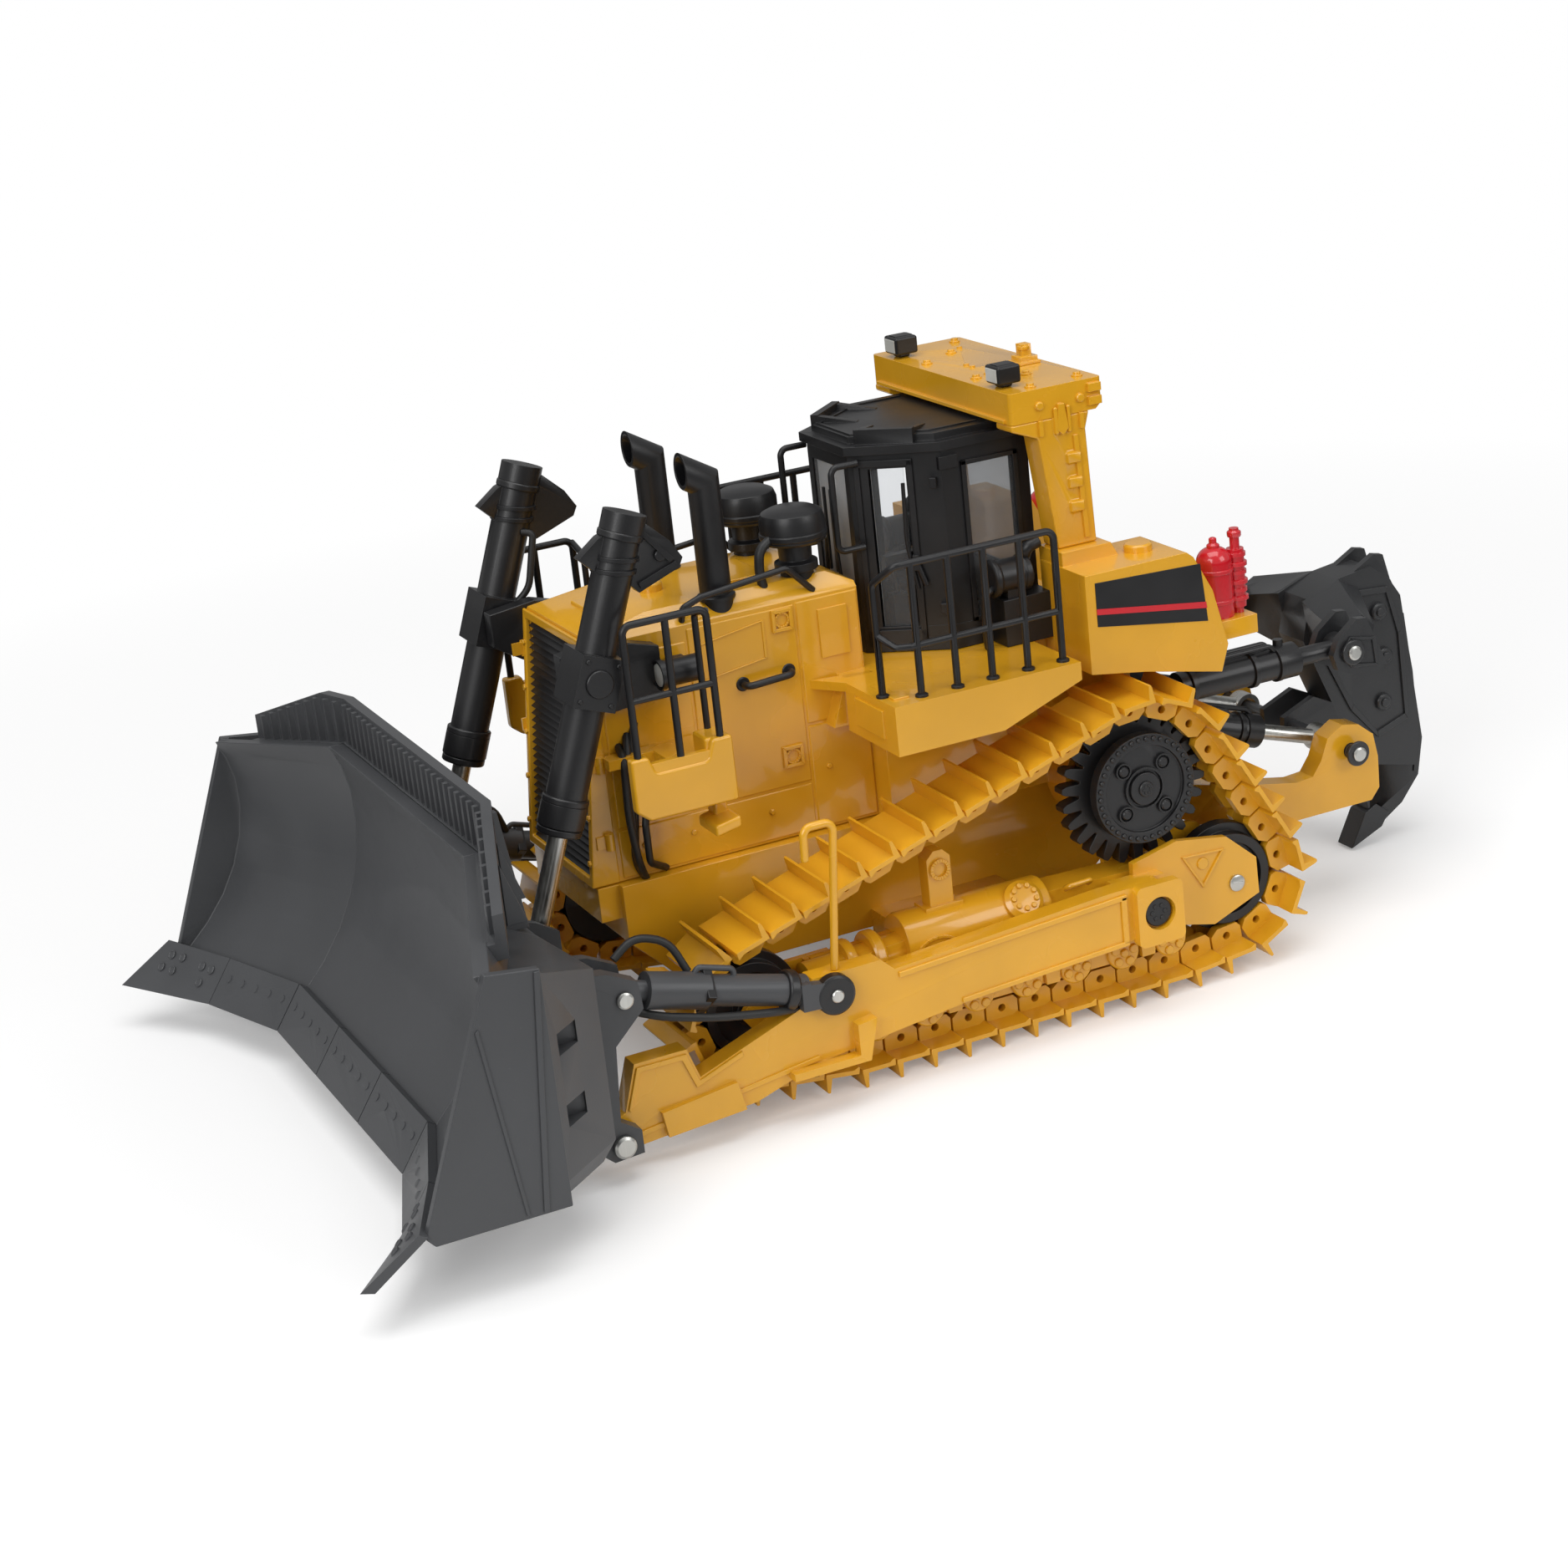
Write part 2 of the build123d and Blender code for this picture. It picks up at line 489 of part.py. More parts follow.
def make_cab():
    sill = 61.0
    outer, inner = cab_outline(), cab_outline(1.2)
    tub = plan_prism(outer, CAB_Z0, sill) - plan_prism(inner, CAB_Z0 + 1.2, sill + 1)
    rear_wall = box(CAB_REAR_X, CAB_REAR_X + 1.2, -14.0, 14.0, sill, 66.0)
    write("cab_walls", joined([tub, rear_wall]))

    header = plan_prism(outer, CAB_Z1 - 2.4, CAB_Z1) - plan_prism(cab_outline(1.4), CAB_Z1 - 3, CAB_Z1 + 1)
    posts = []
    for side in SIDES:
        front = (CAB_FRONT_X, side * CAB_FRONT_HW)
        kink = (CAB_KINK_X, side * CAB_KINK_HW)
        rear = (CAB_REAR_X, side * CAB_KINK_HW)
        posts.append(plan_prism([front, (front[0] - 2.4, front[1] + side * 1.75),
                                 (front[0] - 2.6, front[1] - side * 0.6),
                                 (front[0], front[1] - side * 1.5)], sill, CAB_Z1 - 1))
        posts.append(plan_prism([kink, (kink[0] + 4.4, kink[1] - side * 3.25),
                                 (kink[0] + 3.6, kink[1] - side * 4.2),
                                 (kink[0] - 0.2, kink[1] - side * 1.2),
                                 (kink[0] - 3.6, kink[1] - side * 1.2),
                                 (kink[0] - 3.6, kink[1])], sill, CAB_Z1 - 1))
        posts.append(box(rear[0], rear[0] + 2.4, rear[1], rear[1] - side * 2.0, sill, CAB_Z1 - 1))
    write("cab_pillars", joined([header] + posts))

    panes = []
    for side in SIDES:
        front = (CAB_FRONT_X - 0.3, side * (CAB_FRONT_HW - 1.6))
        door_a = (CAB_FRONT_X - 2.9, side * (CAB_FRONT_HW + 1.5))
        door_b = (CAB_KINK_X + 4.5, side * (CAB_KINK_HW - 3.9))
        ends = (door_a, door_b) if side < 0 else (door_b, door_a)
        panes.append(wall_between(ends[1], ends[0], sill, CAB_Z1 - 2.4, 0.5))
        y = side * (CAB_KINK_HW - 0.3)
        panes.append(box(CAB_REAR_X + 2.4, CAB_KINK_X - 3.6, y, y - side * 0.5, sill, CAB_Z1 - 2.4))
    panes.append(box(CAB_FRONT_X - 0.8, CAB_FRONT_X - 0.3, -CAB_FRONT_HW + 1.5, CAB_FRONT_HW - 1.5,
                     sill, CAB_Z1 - 2.4))
    panes.append(box(CAB_REAR_X + 0.4, CAB_REAR_X + 0.9, -CAB_KINK_HW + 2.0, CAB_KINK_HW - 2.0,
                     66.0, CAB_Z1 - 2.4))
    write("cab_windows", panes)


def roof_outline(out):
    return [(CAB_FRONT_X + 0.9 + out, -CAB_FRONT_HW - 0.7 - out),
            (CAB_FRONT_X + 0.9 + out, CAB_FRONT_HW + 0.7 + out),
            (CAB_KINK_X + 0.3, CAB_KINK_HW + 0.9 + out), (CAB_REAR_X - 1.0 - out, CAB_KINK_HW + 0.9 + out),
            (CAB_REAR_X - 1.0 - out, -CAB_KINK_HW - 0.9 - out), (CAB_KINK_X + 0.3, -CAB_KINK_HW - 0.9 - out)]


def roof_pod():
    """A lamp pod over the door: an outer bar and two fins that taper inwards."""
    (xa, ya), (xb, yb) = (-2.4, 7.4), (-9.2, 13.6)
    length = hypot(xb - xa, yb - ya)
    ex, ey = (xb - xa) / length, (yb - ya) / length
    reach, top, low = 7.6, 91.9, 89.4
    fins = []
    for x, y in ((xa, ya), (xb - 1.1 * ex, yb - 1.1 * ey)):
        far = (x - ey * reach, y + ex * reach)
        side_face = make_face(Polyline((x, y, low), (x, y, top), (*far, 90.8), (*far, low), close=True))
        fins.append(extrude(side_face, amount=1.1, dir=(ex, ey, 0)))
    inner = [(xb - 1.3 * ey, yb + 1.3 * ex), (xa - 1.3 * ey, ya + 1.3 * ex)]
    bar = plan_prism([(xa, ya), (xb, yb)] + inner, low, top)
    return joined([bar] + fins)


def make_roof():
    rim = plan_prism(roof_outline(0.0), CAB_Z1, 89.6)
    crown = plan_prism(roof_outline(-1.7), 89.6, 90.7)
    pods = [mirrored(roof_pod(), side) for side in SIDES]
    write("cab_roof", joined([rim, crown] + pods))


def make_cab_inside():
    cushion = rounded(box(-19.5, -11.5, -4.0, 4.0, 62.6, 65.4), Axis.Y, 1.0)
    base = box(-18.0, -13.0, -2.8, 2.8, 58.2, 62.6)
    back = side_prism([(-19.6, 65.0), (-17.6, 65.4), (-19.6, 77.0), (-21.4, 76.6)], -3.6, 3.6)
    head = side_prism([(-20.9, 77.4), (-19.4, 77.4), (-20.4, 81.6), (-21.6, 81.4)], -2.0, 2.0)
    stem = box(-20.9, -20.3, -0.8, 0.8, 76.2, 77.8)
    arms = [box(-18.6, -11.2, side * 4.0, side * 5.6, 65.0, 68.0) for side in SIDES]
    write("seat", joined([cushion, base, back, stem, head] + arms))
    dash = side_prism([(-2.4, 58.2), (-2.4, 69.0), (-4.4, 70.6), (-6.2, 69.2), (-5.0, 58.2)], -4.6, 4.6)
    levers = [rod((-8.5, side * 5.0, 64.5), (-7.8, side * 5.4, 69.0), 0.45) for side in SIDES]
    pedestal = [box(-9.6, -7.2, side * 4.0, side * 6.0, 58.2, 64.8) for side in SIDES]
    write("control_console", [dash] + [p + lever for p, lever in zip(pedestal, levers)])


# ================================================================ roof guard
def make_rops():
    slab = rounded(box(ROPS_X0, ROPS_X1, -ROPS_HW, ROPS_HW, 91.2, ROPS_TOP), Axis.Z, 0.7)
    chamfer = side_prism([(ROPS_X0 - 1, 90.0), (ROPS_X0 + 2.6, 90.0), (ROPS_X0 - 1, 93.2)], -30, 30)
    beacon = box(-35.6, -32.6, 3.0, 6.0, ROPS_TOP, ROPS_TOP + 1.2)
    beacon_top = box(-35.0, -33.3, 3.4, 5.2, ROPS_TOP + 1.2, ROPS_TOP + 3.0)
    bolts = [post(x, y, 0.45, ROPS_TOP - 0.3, ROPS_TOP + 0.35)
             for x, y in ((-27.0, -1.4), (-27.0, 0.6), (-26.0, 7.0), (-32.6, -14.0))]
    write("rops_canopy", joined([slab - chamfer, beacon, beacon_top] + bolts))
    columns = []
    for side in SIDES:
        y0, y1 = side * 17.6, side * ROPS_HW
        column = side_prism([(-34.3, 71.0), (-27.7, 71.0), (-25.6, 88.4), (ROPS_X1, 90.2), (ROPS_X1, 91.2),
                             (ROPS_X0 + 2.4, 91.2), (-33.8, 88.6)], y0, y1)
        steps = [box(-32.4, -30.0, side * ROPS_HW, side * (ROPS_HW + 0.7), z, z + 1.7)
                 for z in (76.3, 80.0, 83.8)]
        lugs = [box(x, x + 0.7, side * ROPS_HW, side * (ROPS_HW + 0.6), 88.6, 92.8)
                for x in (-29.0, -31.2)]
        columns.append(joined([column] + steps + lugs))
    write("rops_posts", columns)


def make_lamps():
    lamps = []
    for side in SIDES:
        foot = post(-23.6, side * 16.6, 0.8, ROPS_TOP, ROPS_TOP + 0.9)
        lamps.append(foot + rounded(box(-25.2, -22.2, side * 15.0, side * 18.2, ROPS_TOP + 0.7,
                                        ROPS_TOP + 3.5), Axis.X, 0.7))
        arm = rod((33.0, side * HOOD_HW, 64.6), (33.0, side * 16.4, 64.6), 0.8)
        body = rod((31.0, side * 17.4, 64.6), (37.0, side * 17.4, 64.6), 2.0)
        lamps.append(arm + body)
    write("work_lamps", lamps)


# ================================================================ walkways, tanks
def make_fenders():
    fenders = []
    for side in SIDES:
        plate = side_prism([(8.0, DECK_Z), (8.0, 49.4), (-9.6, 49.4), (-23.2, 54.2), (-23.2, DECK_Z)],
                           side * (HOOD_HW + 4.9), side * DECK_Y1)
        hollow = side_prism([(6.6, DECK_Z - 1.4), (6.6, 49.0), (-9.2, 49.0), (-21.6, 53.4),
                             (-21.6, DECK_Z - 1.4)], side * (HOOD_HW + 4.0), side * (DECK_Y1 - 1.4))
        inner = plan_prism([(2.0, side * 15.5), (11.5, side * 13.2), (8.0, side * 18.4),
                            (-1.0, side * 18.4), (-1.0, side * 15.5)], DECK_Z - 1.4, DECK_Z)
        fenders.append((plate - hollow) + inner)
    write("fenders", fenders)


def make_railings():
    y, top, mid = 32.2, 77.2, 64.8
    railings = []
    for side in SIDES:
        s = side * y
        frame = bent_bar([(7.0, side * 28.6, DECK_Z), (7.0, side * 28.6, top - 3.0), (5.0, s, top),
                          (-21.4, s, top), (-21.4, s, DECK_Z)], 0.55, 1.4)
        posts = [post(x, s, 0.55, DECK_Z, top) for x in (2.4, -3.6, -9.5, -15.5)]
        middle = bent_bar([(7.0, side * 28.6, mid + 1.6), (5.4, side * 31.4, mid), (3.6, s, mid),
                           (-21.4, s, mid)], 0.5, 0.9)
        railings.append(joined([frame, middle] + posts))
    write("railings", railings)


def make_tanks():
    tanks = []
    for side in SIDES:
        body = side_prism([(-26.6, 53.4), (-36.0, 51.8), (-49.4, 48.8), (-50.8, 53.0), (-48.6, 62.0), (-45.6, 67.8),
                           (-44.4, TANK_Z1), (-26.6, TANK_Z1)], side * 18.0, side * 31.4)
        saddle = side_prism([(-26.8, TANK_Z1 - 0.5), (-36.8, TANK_Z1 - 0.5), (-35.4, 71.0),
                             (-26.8, 71.0)], side * 17.6, side * 24.6)
        ledge = box(-57.4, -48.4, side * 20.4, side * 29.6, 53.0, 56.0)
        tanks.append(joined([body, saddle, ledge]))
    write("rear_tanks", tanks)


def make_extinguishers():
    bottles = []
    for side in SIDES:
        big = fillet(post(-52.4, side * 26.0, 2.75, 56.0, 67.0).edges().group_by(Axis.Z)[-1], 2.4)
        cap = post(-52.4, side * 26.0, 0.6, 66.2, 67.7)
        bottles.append(big + cap)
        small = post(-55.9, side * 26.6, 1.35, 57.0, 66.2)
        bands = [post(-55.9, side * 26.6, 1.6, z, z + 0.6) for z in (59.4, 62.2, 65.0)]
        valve = post(-55.9, side * 26.6, 0.75, 66.0, 69.4)
        foot = post(-55.9, side * 26.6, 0.9, 56.0, 57.2)
        bottles.append(joined([small, valve, foot] + bands))
    write("fire_extinguishers", bottles)


def make_front_steps():
    steps, cages = [], []
    for side in SIDES:
        deck = box(31.4, 46.2, side * 13.6, side * 26.6, 51.6, 53.2)
        skirt = box(31.4, 32.8, side * 13.6, side * 26.6, 46.6, 53.2)
        outer = box(31.4, 46.2, side * 25.4, side * 26.6, 48.6, 54.8)
        cylinder_notch = box(39.0, 60.0, side * 16.4, side * 25.3, 40.0, 60.0)
        web = box(33.0, 38.6, side * (HOOD_HW - 0.2), side * 14.6, 46.6, 53.2)
        steps.append(joined([deck, skirt, outer, web]) - cylinder_notch)
        y = side * 26.0
        top, mid = 75.6, 64.4
        loop = bent_bar([(45.2, y, 54.8), (45.2, y, top), (32.2, y, top), (32.2, y, 54.8)], 0.55, 1.4)
        bars = [rod((45.2, y, mid), (32.2, y, mid), 0.5), post(38.6, y, 0.55, 54.8, top)]
        back = bent_bar([(32.2, y, top - 0.4), (32.2, side * 21.5, top - 1.6), (32.2, side * 21.5, 53.2)], 0.5, 1.2)
        cages.append(joined([loop, back] + bars))
    write("front_steps", steps)
    write("step_cages", cages)


def make_screws():
    screws = []
    for side in SIDES:
        head = pin(TRUNNION[0], TRUNNION[1], 2.5, side * (ARM_Y1 + 0.3), side * (ARM_Y1 + 1.1))
        torx = pin(TRUNNION[0], TRUNNION[1], 0.9, side * (ARM_Y1 + 0.7), side * (ARM_Y1 + 1.2))
        screws.append(head - torx)
        idler_head = pin(REAR_X, REAR_Z, 1.35, side * (TRACK_Y + 5.0), side * (TRACK_Y + 5.5))
        slot = box(REAR_X - 0.9, REAR_X + 0.9, side * (TRACK_Y + 5.3), side * (TRACK_Y + 5.6),
                   REAR_Z - 0.2, REAR_Z + 0.2)
        screws.append(idler_head - slot)
    write("pivot_screws", screws)


# ================================================================ blade
MOLD_TOP, WING_TOP = 50.0, 45.2
WING_RUN = 10.6                  # how far the wings come forward at their outer edge
WING_SLOPE = WING_RUN / (TIP_Y - CENTRE_HW)
MOLD_PROFILE = ((84.6, MOLD_Z0), (80.9, 15.4), (77.5, 20.2), (74.9, 25.4), (73.1, 31.0), (72.2, 36.6),
                (72.2, 42.0), (73.1, 46.4), (74.6, MOLD_TOP))
EDGE_PROFILE = ((85.4, 12.7), (84.2, 11.9), (88.4, 5.7), (90.2, EDGE_Z))


def mold_section(shift, z_top):
    """Outline of the curved moldboard plate, moved along X and scaled to a top height."""
    scale = (z_top - MOLD_Z0) / (MOLD_TOP - MOLD_Z0)
    front = [(x + shift, MOLD_Z0 + (z - MOLD_Z0) * scale) for x, z in MOLD_PROFILE]
    return front + [(x - BLADE_T * 1.6, z) for x, z in reversed(front)]


def make_blade():
    write("blade_centre", side_prism(mold_section(0.0, MOLD_TOP), -CENTRE_HW, CENTRE_HW))
    # the wings run forward and out from the ends of the centre section
    for side, word in ((1, "left"), (-1, "right")):
        sections = []
        for y, shift, z_top in ((CENTRE_HW, 0.0, MOLD_TOP), (TIP_Y, WING_RUN, WING_TOP)):
            wire = Polyline(*[(x, side * y, z) for x, z in mold_section(shift, z_top)], close=True)
            sections.append(make_face(wire))
        wing = loft(sections, ruled=True)
        y_out = side * TIP_Y
        plate = side_prism([(97.0, 11.6), (84.0, 45.6), (76.4, 44.6), (76.4, 10.2), (95.8, 10.2)],
                           y_out, y_out + side * 1.4)
        write(f"blade_wing_{word}", joined([wing, plate]))


def beam_section(shift, rear, low_top, top):
    """Outline of the box behind the moldboard, its front kept inside the plate."""
    return [(82.4 + shift, MOLD_Z0), (rear + 2.2, 10.2), (rear, 13.0), (rear, low_top), (70.4 + shift, top),
            (71.4 + shift, 31.0), (75.8 + shift, 20.2), (79.2 + shift, 15.4)]


def make_blade_back():
    """Box beam behind the moldboard, with its lugs."""
    beam = side_prism(beam_section(0.0, 65.8, 36.0, 38.0), -CENTRE_HW + 0.1, CENTRE_HW - 0.1)
    wings = []
    for side in SIDES:
        # closed boxes behind the wings, cut back to the side plates
        stations = []
        for y, rear, low_top, top in ((CENTRE_HW - 0.1, 65.8, 36.0, 38.0), (54.0, 65.8, 38.4, 41.0),
                                      (TIP_Y - 0.1, 76.4, 43.4, 44.0)):
            section = beam_section((y - CENTRE_HW) * WING_SLOPE, rear, low_top, top)
            stations.append(make_face(Polyline(*[(x, side * y, z) for x, z in section], close=True)))
        wings.append(loft(stations[:2], ruled=True))
        wings.append(loft(stations[1:], ruled=True))
        lug_y0, lug_y1 = side * 40.0, side * 42.6
        wings.append(side_prism([(66.4, 9.0), (66.4, 33.0), (60.0, 32.0), (55.6, 29.8), (55.2, 25.6),
                                 (60.0, 21.0), (60.8, 9.6), (57.8, 7.6), (57.8, 4.0), (62.4, 3.7), (70.0, 10.6)],
                                lug_y0, lug_y1))
        wings.append(side_prism([(66.4, 21.5), (66.4, 33.0), (60.0, 32.0), (55.6, 29.8), (55.2, 25.6),
                                 (60.0, 22.0)], side * 33.2, side * 35.0))
        wings.append(pin(BLADE_PIN[0], BLADE_PIN[1], 1.2, side * (ARM_Y0 - 0.4), side * 43.2))
        wings.append(pin(BRACE_BLADE_PIN[0], BRACE_BLADE_PIN[1], 0.9, side * 33.0, side * 43.0))
        lug = side_prism([(66.4, 26.0), (66.4, 35.6), (63.0, 34.6), (59.6, 32.4), (59.6, 28.4), (63.0, 26.4)],
                         side * (LIFT_Y + 1.9), side * (LIFT_Y + 3.1))
        wings.append(lug)
        wings.append(pin(LIFT_END[0], LIFT_END[1], 0.8, side * (LIFT_Y - 1.8), side * (LIFT_Y + 3.4)))
    write("blade_back", joined([beam] + wings))


def guard_section(y, low, high):
    """Outline of the guard and the ledge it stands on, at one distance from the middle."""
    x = GUARD_X + max(y - CENTRE_HW, 0.0) * WING_SLOPE
    return [(x, low - 2.4), (x + 3.4, low - 2.4), (x + 3.4, low), (x + 1.6, low), (x + 1.6, high), (x, high)]


def make_guard():
    stations = ((CENTRE_HW, MOLD_TOP, GUARD_TOP), (37.4, 49.2, GUARD_TOP), (56.0, 46.2, 50.2))
    pieces = [side_prism(guard_section(*stations[0]), -CENTRE_HW, CENTRE_HW)]
    face_x = GUARD_X + 1.6
    for i in range(GUARD_RIBS):
        y = -30.0 + 60.0 * i / (GUARD_RIBS - 1)
        pieces.append(box(face_x - 0.1, face_x + 0.8, y - 0.45, y + 0.45, MOLD_TOP - 0.1, GUARD_TOP - 0.6))
    for side in SIDES:
        faces = [make_face(Polyline(*[(x, side * y, z) for x, z in guard_section(y, low, high)], close=True))
                 for y, low, high in stations]
        pieces += [loft(faces[i:i + 2], ruled=True) for i in range(2)]
        (_, _, _), (knee_y, _, _), (outer_y, _, outer_top) = stations
        for i in range(9):
            y = 33.0 + i * 2.5
            x = face_x + (y - CENTRE_HW) * WING_SLOPE
            fall = max(y - knee_y, 0.0) * (GUARD_TOP - outer_top) / (outer_y - knee_y)
            low = MOLD_TOP - (y - CENTRE_HW) * 0.16
            pieces.append(box(x - 0.3, x + 0.8, side * (y - 0.45), side * (y + 0.45), low, GUARD_TOP - fall - 0.6))
    write("spill_guard", joined(pieces))


def edge_bolts(y0, y1, shift0, shift1, count, side=1):
    """A row of low bolt heads across a cutting edge."""
    heads = []
    for k in range(count):
        t = (k + 0.6) / (count + 0.2)
        x, y = 87.0 + shift0 + (shift1 - shift0) * t, side * (y0 + (y1 - y0) * t)
        heads.append(rod((x - 0.9, y, 9.9 - 0.64), (x + 0.34, y, 9.9 + 0.25), 0.62))
    return heads


def edge_plate(side, sections):
    """A sloping plate between two outlines at two distances from the middle."""
    faces = [make_face(Polyline(*[(x, side * y, z) for x, z in outline], close=True)) for y, outline in sections]
    return loft(faces, ruled=True)


def make_edges():
    """Cutting edges and end bits, each a separate plate with its bolt heads."""
    edges = []
    width = 2 * CENTRE_HW / 3
    for i in range(3):
        y0 = -CENTRE_HW + i * width
        plate = side_prism(EDGE_PROFILE, y0 + 0.12, y0 + width - 0.12)
        edges.append(joined([plate] + edge_bolts(y0, y0 + width, 0.0, 0.0, 5)))

    def at(y):
        shift = (y - CENTRE_HW) * WING_SLOPE
        return [(x + shift, z) for x, z in EDGE_PROFILE]

    bit_end = [(98.0, 12.9), (96.8, 12.2), (105.0, 6.6), (107.0, 7.2)]
    for side in SIDES:
        y0, y1 = CENTRE_HW + 0.15, 49.6
        plate = edge_plate(side, ((y0, at(y0)), (y1, at(y1))))
        shift = (y1 - CENTRE_HW) * WING_SLOPE
        edges.append(joined([plate] + edge_bolts(y0, y1, 0.0, shift, 5, side)))
        edges.append(edge_plate(side, ((y1 + 0.15, at(y1 + 0.15)), (TIP_Y + 1.9, bit_end))))
    write("cutting_edges", edges)


def make_push_arms():
    for side, word in ((1, "left"), (-1, "right")):
        outline = [(TRUNNION[0] - 3.4, 14.2), (TRUNNION[0] - 3.4, 19.8), (TRUNNION[0] - 1.0, 21.6),
                   (-22.0, 21.6), (14.5, 19.4), (16.6, 21.4), (27.8, 21.4), (29.4, 17.6), (46.8, 11.4),
                   (48.4, 16.2), (56.6, 16.2), (58.8, 9.2), (62.8, 7.6), (63.4, 4.9), (60.8, 3.7), (57.4, 3.6),
                   (38.4, 5.0), (28.0, 8.2), (4.0, 10.9), (-22.0, 12.6)]
        bar = side_prism(outline, side * ARM_Y0, side * ARM_Y1)
        bar = bar - pin(TRUNNION[0], TRUNNION[1], 1.98, side * (ARM_Y0 - 1), side * (ARM_Y1 + 1))
        bar = bar - pin(BLADE_PIN[0], BLADE_PIN[1], 1.2, side * (ARM_Y0 - 1), side * (ARM_Y1 + 1))
        bar = bar - pin(BRACE_ARM_PIN[0], BRACE_ARM_PIN[1], 0.9, side * (ARM_Y0 - 1), side * (ARM_Y1 + 1))
        pad = side_prism([(40.6, 4.8), (53.0, 4.0), (53.6, 8.0), (41.6, 9.4)], side * ARM_Y1, side * (ARM_Y1 + 1.0))
        step = joined([box(21.0, 33.0, side * ARM_Y1, side * (ARM_Y1 + 2.0), 7.2, 8.4),
                       side_prism([(19.0, 13.6), (22.2, 13.2), (22.2, 7.2), (20.6, 7.2)],
                                  side * ARM_Y1, side * (ARM_Y1 + 2.0))])
        block = box(TRUNNION[0] - 4.2, TRUNNION[0] + 3.9, side * (ARM_Y1 - 0.4), side * (ARM_Y1 + 1.5),
                    TRUNNION[1] - 5.0, TRUNNION[1] + 4.8)
        block = rounded(block, Axis.Y, 1.0) - pin(TRUNNION[0], TRUNNION[1], 2.65, side * ARM_Y1, side * (ARM_Y1 + 2))
        block = block - pin(TRUNNION[0], TRUNNION[1], 1.98, side * (ARM_Y1 - 1), side * (ARM_Y1 + 1))
        write(f"push_arm_{word}", joined([bar, pad, step, block]))


def make_braces():
    braces, loops = [], []
    for side in SIDES:
        (x0, z0), (x1, z1) = BRACE_ARM_PIN, BRACE_BLADE_PIN
        y = side * 38.3

        def along(t, lift=0.0):
            return (x0 + (x1 - x0) * t, y, z0 + (z1 - z0) * t + lift)

        tube = rod(along(0.12), along(0.86), 2.35)
        collar = rod(along(0.58), along(0.86), 2.75)
        neck = rod(along(0.84), along(0.95), 1.5)
        eye = pin(x1, z1, 1.9, y - 1.6, y + 1.6)
        fork = side_prism([(x0 - 1.6, z0 - 1.6), (x0 + 5.4, z0 - 1.2), (x0 + 5.4, z0 + 3.0), (x0 - 0.4, z0 + 2.0),
                           (x0 - 1.8, z0 + 0.6)], side * (ARM_Y1 + 0.05), side * (ARM_Y1 + 1.7))
        fork_foot = box(x0 + 3.9, x0 + 5.4, y, side * (ARM_Y1 + 1.7), z0 - 0.4, z0 + 3.0)
        fork_pin = pin(x0, z0, 0.9, side * ARM_Y0, side * (ARM_Y1 + 2.2))
        pipe = bent_bar([along(0.44, 1.6), along(0.44, 3.4), along(0.62, 3.6), along(0.62, 1.6)], 0.45, 0.9)
        brace = joined([tube, collar, neck, eye, fork, fork_foot, fork_pin, pipe])
        braces.append(brace - pin(x1, z1, 0.9, y - 3, y + 3))
        stem = [(23.6, side * 38.2, 21.3), (21.4, side * 38.2, 44.0), (26.2, side * 38.2, 44.0),
                (26.4, side * 38.2, 39.0)]
        loops.append(bent_bar(stem, 0.6, 1.4))
    write("tilt_braces", braces)
    write("step_loops", loops)


def lift_direction():
    dx, dz = LIFT_END[0] - LIFT_PIVOT[0], LIFT_END[1] - LIFT_PIVOT[1]
    length = hypot(dx, dz)
    return dx / length, dz / length, length


def make_lift_cylinders():
    ux, uz, length = lift_direction()

    def at(distance, y):
        return (LIFT_PIVOT[0] + ux * distance, y, LIFT_PIVOT[1] + uz * distance)

    def across(distance, offset):
        """X and Z of a point beside the cylinder's line."""
        x, _, z = at(distance, 0)
        return x - uz * offset, z + ux * offset

    for side, word in ((1, "left"), (-1, "right")):
        y = side * LIFT_Y
        barrel = rod(at(-23.6, y), at(21.8, y), LIFT_R)
        collar = rod(at(18.4, y), at(21.8, y), LIFT_R + 0.45)
        cap = rod(at(-24.4, y), at(-21.6, y), LIFT_R + 0.2)
        guard = side_prism(LIFT_GUARD, y - 1.0, y + 1.0)
        block = side_prism([across(-3.9, -3.3), across(3.9, -3.3), across(3.9, 3.3), across(-3.9, 3.3)],
                           side * (LIFT_Y - LIFT_BLOCK_IN), side * (LIFT_Y + 3.6))
        bore = rod(at(-20.5, y), at(23, y), 1.55)
        eye_bore = pin(LIFT_PIVOT[0], LIFT_PIVOT[1], 1.15, side * (LIFT_Y - LIFT_BLOCK_IN - 1), side * (LIFT_Y - 2.2))
        write(f"lift_barrel_{word}", joined([barrel, collar, cap, block, guard]) - bore - eye_bore)
        shaft = rod(at(4.0, y), at(length - 1.8, y), 1.45)
        eye = pin(LIFT_END[0], LIFT_END[1], 2.4, y - 1.3, y + 1.3)
        write(f"lift_rod_{word}", (shaft + eye) - pin(LIFT_END[0], LIFT_END[1], 1.5, y - 3, y + 3))


